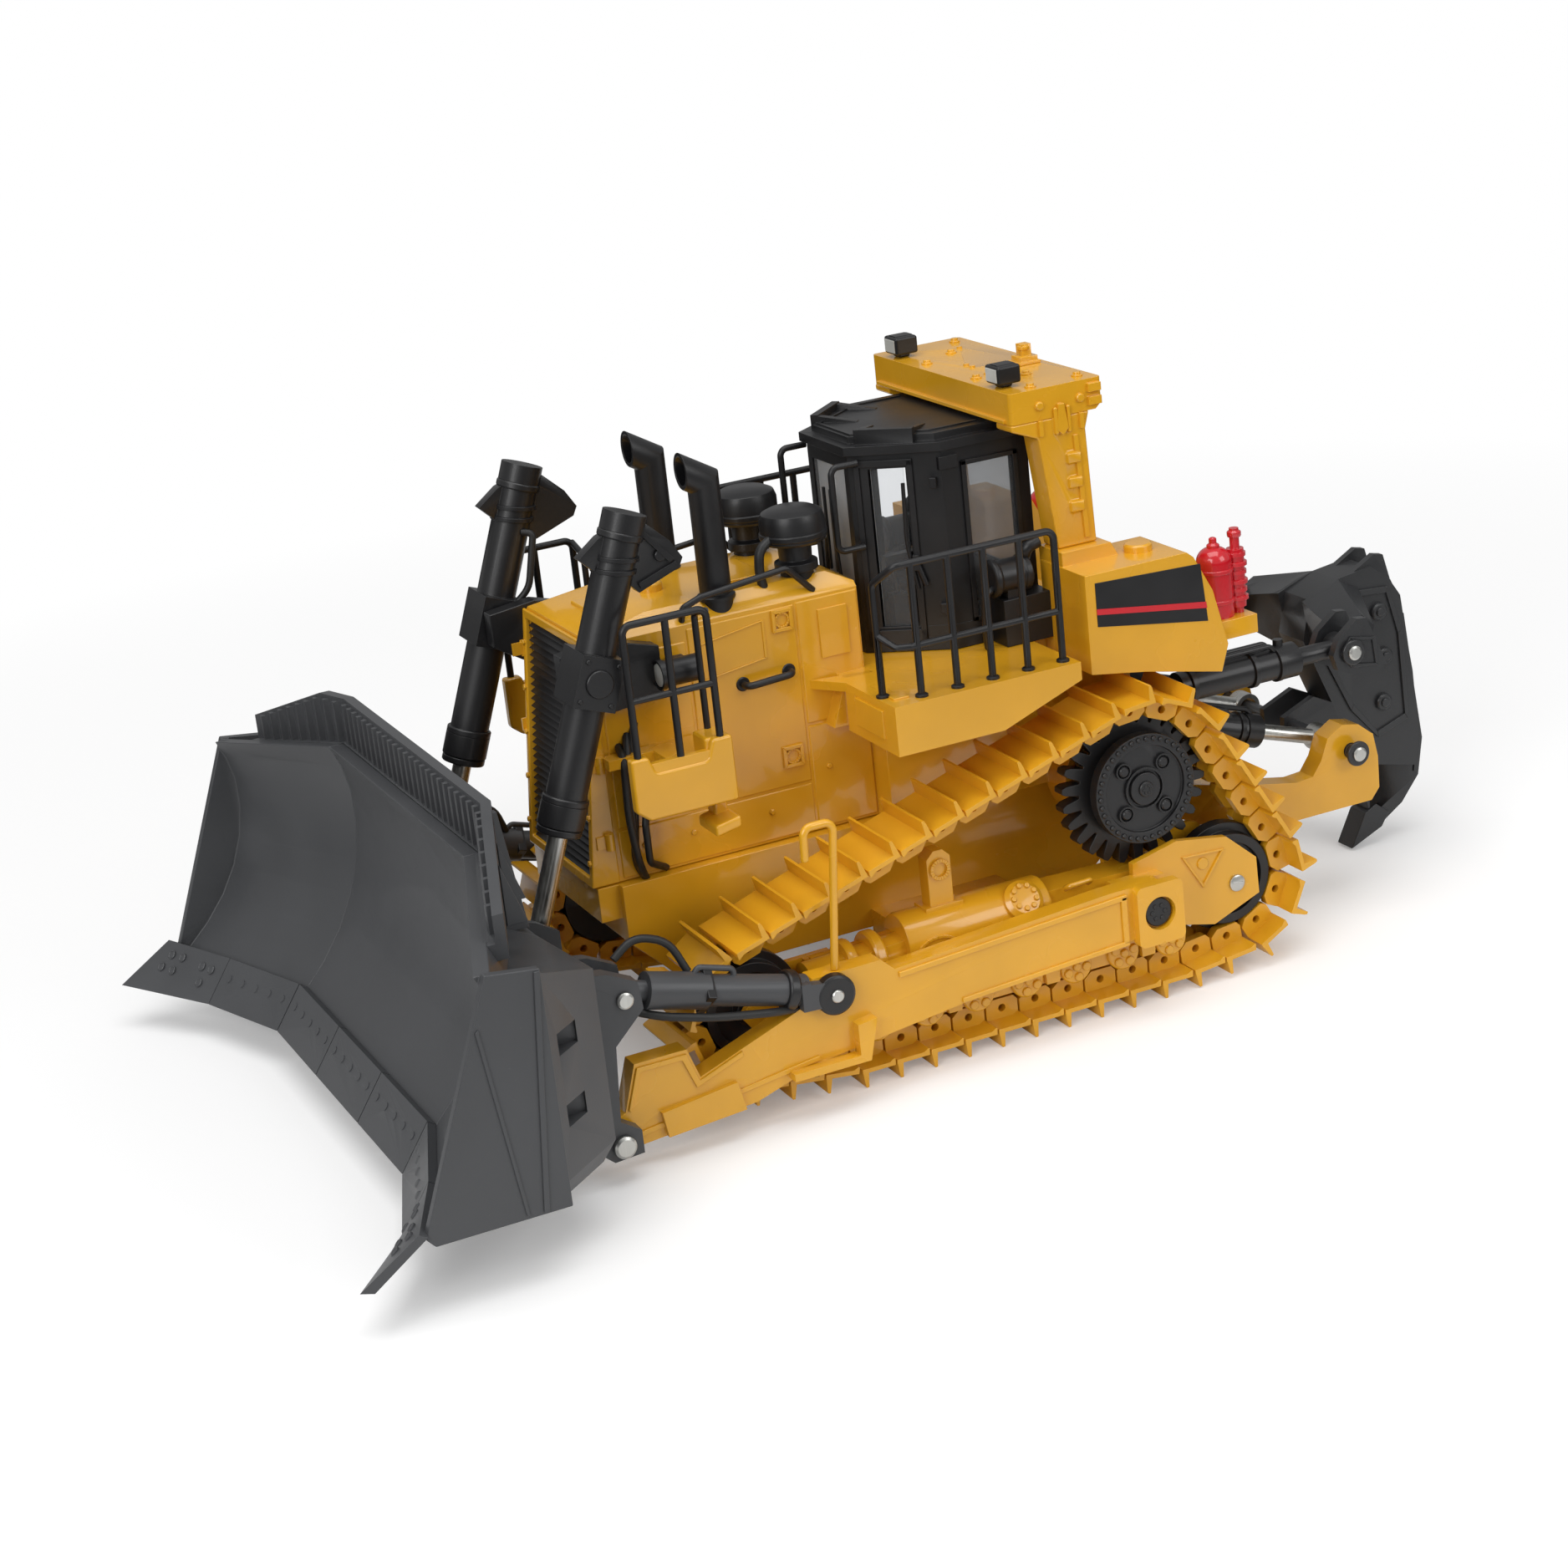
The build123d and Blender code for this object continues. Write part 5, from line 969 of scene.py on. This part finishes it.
def railing_feet(deck):
    """Round feet where the railing posts meet the deck."""
    feet = Form()
    for x, y in ((7.0, 28.6), (2.4, 32.2), (-3.6, 32.2), (-9.5, 32.2), (-15.5, 32.2), (-21.4, 32.2)):
        feet.stud(1.0, 0.7, 0.3, 0.5, (x, y, deck), (0, 0, 1), 20)
    return feet


def walkway_pads(deck):
    """Panels on the deck's front, bolts on the tank's shoulder and its filler cap."""
    pads = Form()
    pads.box(7.9, 8.35, 21.6, 30.6, 51.2, 55.6)
    pads.box(4.0, 6.6, 29.6, 31.4, deck - 0.1, deck + 0.3)
    for x in (-29.0, -34.0):
        pads.stud(0.6, 0.4, 0.3, 0.5, (x, 20.0, 70.9), (0, 0, 1), 6)
    pads.stud(2.2, 1.9, 1.0, 1.3, (-40.0, 24.6, 68.7), (0, 0, 1))
    return pads


def extinguisher_bands():
    """Bands and valves of the large and the small bottle."""
    up = (0, 0, 1)
    bottle, flask = Vector((-52.4, 26.0, 0.0)), Vector((-55.9, 26.6, 0.0))
    gear = Form()
    for z in (58.2, 63.0):
        gear.collar(2.82, 2.95, 0.7, 0.1, bottle + Vector((0, 0, z)), up, 40)
    valve = [(1.0, 66.8), (1.0, 67.3), (0.6, 67.6), (0.6, 68.3), (0.3, 68.5)]
    gear.lathe(valve, bottle, up, 24)
    for z in (58.0, 60.6, 63.4):
        gear.collar(1.4, 1.75, 0.8, 0.1, flask + Vector((0, 0, z)), up, 28)
    gear.lathe([(1.0, 68.0), (1.1, 68.2), (1.1, 68.8), (0.7, 69.1)], flask, up, 20)
    return gear


class BULLDOZER_OT_walkways(bpy.types.Operator):
    """Fenders, railings, steps, tanks and fire extinguishers"""

    bl_idname = "bulldozer.walkways"
    bl_label = "Walkways"

    def execute(self, context):
        edge = context.scene.bulldozer_sizes.casting_edge / MM
        deck, tank = span("fenders")[1][2], span("rear_tanks")[1][1]
        cast_all("yellow", edge + 0.05, "fenders", "rear_tanks", "main_frame")
        cast_all("yellow", edge, "front_steps")
        cast_all("black", 0.1, "railings", "step_cages")
        cast_all("red", 0.25, "fire_extinguishers")
        fit("front_step_walls", step_walls().mirrored(), "yellow", "body", 0.5, 3)
        fit("railing_feet", railing_feet(deck).mirrored(), "black", "body", 0.0)
        fit("walkway_pads", walkway_pads(deck).mirrored(), "yellow", "body", 0.2)
        panel = [(-28.2, 60.6), (-47.4, 57.4), (-46.6, 66.6), (-28.2, 67.4)]
        panels = Form().prism(panel, "Y", tank - 0.1, tank + 0.1)
        fit("tank_panels", panels.mirrored(), "black", "body", 0.06)
        stripe = [(-28.2, 62.5), (-47.3, 59.5), (-47.2, 60.5), (-28.2, 63.4)]
        stripes = Form().prism(stripe, "Y", tank + 0.05, tank + 0.16)
        fit("tank_stripes", stripes.mirrored(), "red", "body", 0.0)
        fit("extinguisher_valves", extinguisher_bands().mirrored(), "red", "body", 0.05)
        return {"FINISHED"}


# ---------------------------------------------------------------- tracks
def hub_rim(side, word):
    """Bolt circle, rings and centre screw on a sprocket's hub cover."""
    low, high = span(f"hub_cover_{word}")
    x, z = (low[0] + high[0]) / 2, (low[2] + high[2]) / 2
    face = high[1] if side > 0 else low[1]
    raised = outward(face, side, -0.7, -0.2)
    rim = Form()
    for px, pz in ring(x, z, 7.95, 38):
        rim.disc(px, face - side * 0.3, pz, 0.42, 0.55, side, 10)
    rim.border(ring(x, z, 3.4, 28), "Y", *raised, 0.35)
    for px, pz in ring(x, z, 4.95, 4, pi / 4):
        rim.border(ring(px, pz, 1.35, 18), "Y", *raised, 0.3)
        rim.disc(px, face - side * 0.5, pz, 0.75, 0.45, side, 18)
    return rim.torx(x, face - side * 0.15, z, 1.25, side)


class BULLDOZER_OT_tracks(bpy.types.Operator):
    """Track chains, sprockets, hubs and idlers"""

    bl_idname = "bulldozer.tracks"
    bl_label = "Tracks"

    def execute(self, context):
        cast_all("yellow_satin", 0.14, "track_left", "track_right")
        cast_all("black_metal", 0.12, "sprocket_left", "sprocket_right", "front_idler_left",
                 "front_idler_right", "rear_idler_left", "rear_idler_right")
        cast_all("black_metal", 0.15, "hub_cover_left", "hub_cover_right")
        for side, word in SIDE_NAMES.items():
            fit(f"hub_rim_{word}", hub_rim(side, word), "black_metal", f"{word}_drive", 0.04)
        return {"FINISHED"}


# ---------------------------------------------------------------- track frames
def recoil_housing():
    """The spring tube on top of the track frame with its collars and end cap."""
    ahead, slant = (1, 0, 0), (0.0, 0.8, 0.6)
    parts = Form()
    parts.collar(4.2, 4.5, 2.0, 0.4, (12.0, 28.4, 17.0), ahead, 40)
    parts.lathe([(4.4, 0.0), (4.6, 0.5), (4.6, 24.0), (4.4, 24.6)], (-16.0, 28.4, 18.4), ahead, 40)
    parts.collar(4.0, 4.2, 1.6, 0.4, (16.6, 28.4, 17.0), ahead, 40)
    cap = Vector((-11.4, 31.6, 20.8))
    parts.lathe([(3.2, 0.0), (3.2, 0.9), (2.4, 1.5), (0.0, 1.6)], cap, slant)
    for a, b in ring(0.0, 0.0, 1.0, 9):
        bolt = cap + Vector((1.9 * a, 1.0 - 1.1 * b, 1.1 + 1.5 * b))
        parts.lathe([(0.5, 0.0), (0.4, 0.4)], bolt, slant, 12)
    return parts


def frame_fittings(parts):
    """Sight ring, grab bar, lifting eye and cast triangle of a track frame."""
    skirt = 33.3
    oval = [(4.0 + 3.6 * a, 17.4 + 2.4 * b) for a, b in ring(0.0, 0.0, 1.0, 24)]
    parts.border(oval, "Y", skirt - 0.9, skirt, 0.5)
    parts.tube([(-18.6, 32.2, 21.2), (-18.6, 33.6, 22.0), (-22.6, 33.6, 22.2), (-22.6, 32.2, 21.2)],
               0.45, 0.8)
    parts.box(-2.2, 4.2, 26.4, 30.4, 21.6, 23.2)
    parts.prism([(-0.9, 23.0), (3.1, 23.0), (3.1, 30.6), (1.9, 31.8), (0.3, 31.8), (-0.9, 30.6)], "Y",
                27.0, 29.8)
    parts.border(ring(1.1, 28.8, 1.7, 20), "Y", 29.7, 30.3, 0.6)
    parts.border([(-46.4, 21.2), (-38.6, 21.6), (-42.2, 15.6)], "Y", skirt, skirt + 0.45, 0.7)
    parts.disc(-42.4, skirt, 19.6, 1.0, 0.4)


def roller_covers(parts):
    """Bolted roller covers and brackets along the skirt."""
    first, pitch, count, height, face = -35.6, 8.5, 7, 8.9, 33.2
    for i in range(count):
        x = first + i * pitch
        parts.disc(x, face, height, 2.75, 0.8)
        for px, pz in ring(x, height, 1.7, 5, 0.4 * i):
            parts.disc(px, face + 0.7, pz, 0.75, 0.45, 1, 14)
        parts.disc(x, face + 0.7, height, 0.7, 0.5, 1, 16)
        if i % 2 == 0 and i < count - 1:
            bracket = [(x + 2.7, 13.6), (x + 5.8, 13.6), (x + 5.4, 7.4), (x + 3.1, 7.4)]
            parts.prism(bracket, "Y", face, face + 1.0)


class BULLDOZER_OT_track_frames(bpy.types.Operator):
    """Track frames with recoil housings, rollers and pivot blocks"""

    bl_idname = "bulldozer.track_frames"
    bl_label = "Track Frames"

    def execute(self, context):
        cast_all("yellow", context.scene.bulldozer_sizes.casting_edge / MM, "track_frames")
        parts = recoil_housing()
        frame_fittings(parts)
        roller_covers(parts)
        fit("track_frame_fittings", parts.mirrored(), "yellow", "body")
        pivot, idler = pin("blade_lift"), pin("left_rear_idler_spin")
        heads, shafts = Form(), Form()
        for side in SIDES:
            heads.torx(pivot.x, side * 39.8, pivot.z, 2.3, side)
            shafts.stud(1.35, 1.1, 0.4, 0.55, (idler.x, side * 33.4, idler.z), (0, side, 0))
            shafts.prism([(-49.3, 14.6), (-47.4, 15.0), (-47.3, 15.3), (-49.3, 15.0)], "Y",
                         *outward(side * 33.9, side, 0.0, 0.15))
        fit("trunnion_screws", heads, "black_metal", "body", 0.05)
        fit("idler_screws", shafts, "steel", "body", 0.04, replaces=("pivot_screws",))
        return {"FINISHED"}


# ---------------------------------------------------------------- ripper
HEAD_PINS = ((-79.7, 25.8), (-79.7, 43.0))


def link_bands(y):
    """Three collars and two thin pipes on an upper link."""
    bands = Form()
    for x in (-50.5, -62.0, -66.8):
        bands.collar(2.6, 2.95, 1.15, 0.15, (x, y, 43.0), (-1, 0, 0))
    for offset in (-0.9, 0.9):
        bands.tube([(-51.0, y + offset, 45.2), (-51.6, y + offset, 46.4), (-66.0, y + offset, 46.4),
                    (-66.8, y + offset, 45.4)], 0.42, 0.8)
    return bands


def ram_bands(pivot, along):
    """Three open bands and a feed pipe on a ripper ram."""
    up = Vector((along.z, 0.0, -along.x))
    ram = Form()
    for distance in (3.4, 9.0, 19.0):
        ram.collar(2.5, 2.85, 1.05, 0.15, pivot + along * distance, along, solid=False)
    start, end = pivot + along * 4.0, pivot + along * 22.0
    ram.tube([start + up * 2.4, start + up * 3.4 + along, end + up * 3.4 - along, end + up * 2.4], 0.45, 0.8)
    return ram


def head_plates():
    """Pin bosses and bordered cheeks of the ripper head."""
    cheek, ear = 3.5, 21.6
    head = Form()
    for x, z in HEAD_PINS:
        head.disc(x, ear + 0.4, z, 2.1, 0.5)
    head.border([(-102.6, 22.0), (-96.4, 20.0), (-91.2, 26.0), (-86.4, 36.0), (-90.0, 46.8), (-99.6, 46.0),
                 (-102.2, 38.0)], "Y", cheek, cheek + 0.5, 1.1)
    for x, z in ((-97.8, 26.0), (-98.4, 34.0), (-97.6, 42.0)):
        head.disc(x, cheek, z, 1.5, 0.9)
        head.disc(x, cheek + 0.8, z, 0.8, 0.4, 1, 16)
    head.border([(-84.2, 44.6), (-79.4, 45.6), (-77.6, 43.0), (-79.4, 40.4), (-84.6, 39.8)], "Y",
                ear, ear + 0.4, 0.7)
    return head


def shank_ridges():
    """A raised line down the back of the shank and its adjusting holes."""
    ridge = Form()
    ridge.prism([(-103.9, 40.0), (-106.4, 18.0), (-105.4, 11.0), (-104.6, 11.4), (-105.6, 18.0),
                 (-103.1, 40.0)], "Y", 1.8, 2.15)
    for z in (28.0, 34.0, 40.0):
        ridge.disc(-99.2, 1.75, z, 0.9, 0.3, 1, 20)
    return ridge


def hitch_bosses():
    """Link bosses and hose fittings on the rear bracket."""
    bosses = Form()
    for _, z in HEAD_PINS:
        bosses.disc(-45.0, 20.2, z, 2.0, 0.6)
        bosses.disc(-45.0, 20.7, z, 1.0, 0.5)
    for z in (41.2, 43.4, 45.6):
        bosses.stud(0.7, 0.5, 0.9, 1.2, (-45.6, 3.6, z), (-1, 0, 0), 12)
    return bosses


def ripper_hoses():
    """Hoses that loop out of the rear bracket and back."""
    hoses = Form()
    for y, z in ((2.0, 44.6), (4.0, 42.4), (5.6, 40.6)):
        hoses.tube([(-45.4, y, z), (-48.6, y + 0.6, z - 0.4), (-49.6, y + 2.0, z - 3.6),
                    (-47.0, y + 3.4, 38.6), (-44.6, y + 3.6, 39.6)], 0.62, 2.6)
    return hoses


class BULLDOZER_OT_ripper(bpy.types.Operator):
    """Ripper linkage, cylinders, head and shank"""

    bl_idname = "bulldozer.ripper"
    bl_label = "Ripper"

    def execute(self, context):
        cast_all("yellow", context.scene.bulldozer_sizes.casting_edge / MM, "ripper_arms")
        cast_all("dark_grey", 0.3, "ripper_beam", "ripper_shank")
        cast_all("black_metal", 0.2, "rear_bracket", "pitch_link_left", "pitch_link_right",
                 "ripper_barrel_left", "ripper_barrel_right")
        cast_all("steel", 0.05, "ripper_rod_left", "ripper_rod_right")
        for side, word in SIDE_NAMES.items():
            pivot = pin(f"{word}_ripper_ram_swing")
            along = Vector(joint(f"{word}_ripper_ram_stroke")["axis"])
            link, barrel = f"{word}_pitch_link", f"{word}_ripper_barrel"
            fit(f"pitch_link_bands_{word}", link_bands(side * 18.2), "black_metal", link, 0.04)
            fit(f"ripper_ram_bands_{word}", ram_bands(pivot, along), "black_metal", barrel, 0.04)
        fit("ripper_head_plates", head_plates().mirrored(), "dark_grey", "ripper_head", 0.1)
        fit("shank_ridges", shank_ridges().mirrored(), "dark_grey", "ripper_head", 0.08)
        pins = Form()
        for x, z in HEAD_PINS:
            pins.stud(1.2, 0.9, 0.5, 0.7, (x, 22.3, z), (0, 1, 0))
        fit("ripper_pins", pins.mirrored(), "steel", "ripper_head", 0.04)
        fit("hitch_bosses", hitch_bosses().mirrored(), "black_metal", "body", 0.06)
        fit("ripper_hoses", ripper_hoses().mirrored(), "hose", "body", 0.0)
        return {"FINISHED"}


# ---------------------------------------------------------------- stage
def floor_paint():
    """Pale floor with the model's soft shadow, turning to plain white away from it."""
    paint = new_paint("studio_floor")
    near_glow, near_reach, far_reach = 0.20, 0.14, 0.36
    ray = paint.node("ShaderNodeLightPath", out="Is Camera Ray")
    matt = paint.node("ShaderNodeBsdfDiffuse", {}, {"Color": (0.83, 0.83, 0.83, 1.0)})
    glow = paint.node("ShaderNodeEmission", {}, {"Color": WHITE, "Strength": ray * near_glow})
    near = paint.node("ShaderNodeAddShader", {}, {0: matt, 1: glow})
    far = paint.node("ShaderNodeEmission", {}, {"Color": WHITE, "Strength": ray})
    distance = paint.node("ShaderNodeVectorMath", {"operation": "LENGTH"}, {0: paint.place()}, out="Value")
    factor = paint.spread(distance, near_reach, far_reach, 0.0, 1.0)
    return paint.finish(paint.node("ShaderNodeMixShader", {}, {0: factor, 1: near, 2: far}))


def studio_world():
    """An even pale world, white where the camera looks at it, also through glass."""
    paint = Paint(bpy.data.worlds.new("studio"), "ShaderNodeOutputWorld")
    lighting, seen = 0.39, 1.0
    camera = paint.node("ShaderNodeLightPath", out="Is Camera Ray")
    glass = paint.node("ShaderNodeLightPath", out="Is Transmission Ray")
    level = paint.spread(camera + glass, 0.0, 1.0, lighting, seen)
    return paint.finish(paint.node("ShaderNodeBackground", {}, {"Color": WHITE, "Strength": level}))


def softbox(name, place, target, size, power):
    """A rectangular lamp at place that looks at target, in metres and watts."""
    lamp = bpy.data.lights.new(name, "AREA")
    lamp.shape = "RECTANGLE"
    lamp.size, lamp.size_y = size
    lamp.energy = power
    holder = bpy.data.objects.new(name, lamp)
    holder.location = place
    holder.rotation_euler = (Vector(target) - Vector(place)).to_track_quat("-Z", "Y").to_euler()
    bpy.context.scene.collection.objects.link(holder)


def studio_camera(focal_length):
    """The camera ahead of the machine's left side, looking down on it."""
    lens = bpy.data.cameras.new("studio_camera")
    lens.sensor_width = 36.0
    lens.lens = focal_length
    lens.clip_start = 0.01
    camera = bpy.data.objects.new("studio_camera", lens)
    place = (0.1921, 0.4205, 0.1950)
    right, above = Vector((-0.8993, 0.4247, -0.1047)).normalized(), Vector((-0.2297, -0.2547, 0.9394))
    back = right.cross(above).normalized()
    turn = Matrix((right, back.cross(right), back)).transposed().to_4x4()
    camera.matrix_world = Matrix.Translation(place) @ turn
    return camera


class BULLDOZER_OT_stage(bpy.types.Operator):
    """Set up the pale floor, the studio light and the camera"""

    bl_idname = "bulldozer.stage"
    bl_label = "Stage"

    def execute(self, context):
        scene, sizes = context.scene, context.scene.bulldozer_sizes
        reach, drop = sizes.floor_reach, 0.02 * MM
        floor = bpy.data.meshes.new("studio_floor")
        corners = [(-reach, -reach, 0), (reach, -reach, 0), (reach, reach, 0), (-reach, reach, 0)]
        floor.from_pydata(corners, [], [(0, 1, 2, 3)])
        floor.materials.append(floor_paint())
        ground = bpy.data.objects.new("studio_floor", floor)
        ground.location.z = CAD_BOX[0][2] - drop
        scene.collection.objects.link(ground)
        scene.world = studio_world()
        softbox("overhead_softbox", (0.05, 0.12, 0.75), (0.0, 0.0, 0.03), (0.7, 0.5), 3.0)
        softbox("front_softbox", (0.74, 0.52, 0.48), (0.02, 0.0, 0.04), (0.5, 0.5), 3.6)
        softbox("rear_softbox", (-0.40, 0.60, 0.40), (-0.03, 0.0, 0.04), (0.4, 0.4), 1.5)
        scene.camera = studio_camera(sizes.focal_length)
        scene.collection.objects.link(scene.camera)
        scene.view_settings.view_transform = "Standard"
        return {"FINISHED"}


# ---------------------------------------------------------------- add-on
OPERATORS = (BULLDOZER_OT_blade, BULLDOZER_OT_push_arms, BULLDOZER_OT_lift, BULLDOZER_OT_hood,
             BULLDOZER_OT_stacks, BULLDOZER_OT_cab, BULLDOZER_OT_roof_guard, BULLDOZER_OT_walkways,
             BULLDOZER_OT_tracks, BULLDOZER_OT_track_frames, BULLDOZER_OT_ripper, BULLDOZER_OT_stage)


class BULLDOZER_PT_panel(bpy.types.Panel):
    """Buttons for building the bulldozer piece by piece"""

    bl_idname = "BULLDOZER_PT_panel"
    bl_label = "Toy Bulldozer"
    bl_space_type = "VIEW_3D"
    bl_region_type = "UI"
    bl_category = "Bulldozer"

    def draw(self, context):
        column = self.layout.column()
        for operator in OPERATORS:
            column.operator(operator.bl_idname)
        for group in (context.scene.bulldozer_colours, context.scene.bulldozer_sizes):
            for key in group.__annotations__:
                column.prop(group, key)


CLASSES = (BulldozerColours, BulldozerSizes) + OPERATORS + (BULLDOZER_PT_panel,)


def register():
    for cls in CLASSES:
        bpy.utils.register_class(cls)
    bpy.types.Scene.bulldozer_colours = PointerProperty(type=BulldozerColours)
    bpy.types.Scene.bulldozer_sizes = PointerProperty(type=BulldozerSizes)


def unregister():
    del bpy.types.Scene.bulldozer_colours
    del bpy.types.Scene.bulldozer_sizes
    for cls in reversed(CLASSES):
        bpy.utils.unregister_class(cls)


def main():
    register()
    prepare_finishes(bpy.context.scene.bulldozer_colours)
    for operator in OPERATORS:
        group, name = operator.bl_idname.split(".")
        result = getattr(getattr(bpy.ops, group), name)()
        if "FINISHED" not in result:
            raise RuntimeError(f"{operator.bl_idname} did not finish")


if __name__ == "__main__":
    main()
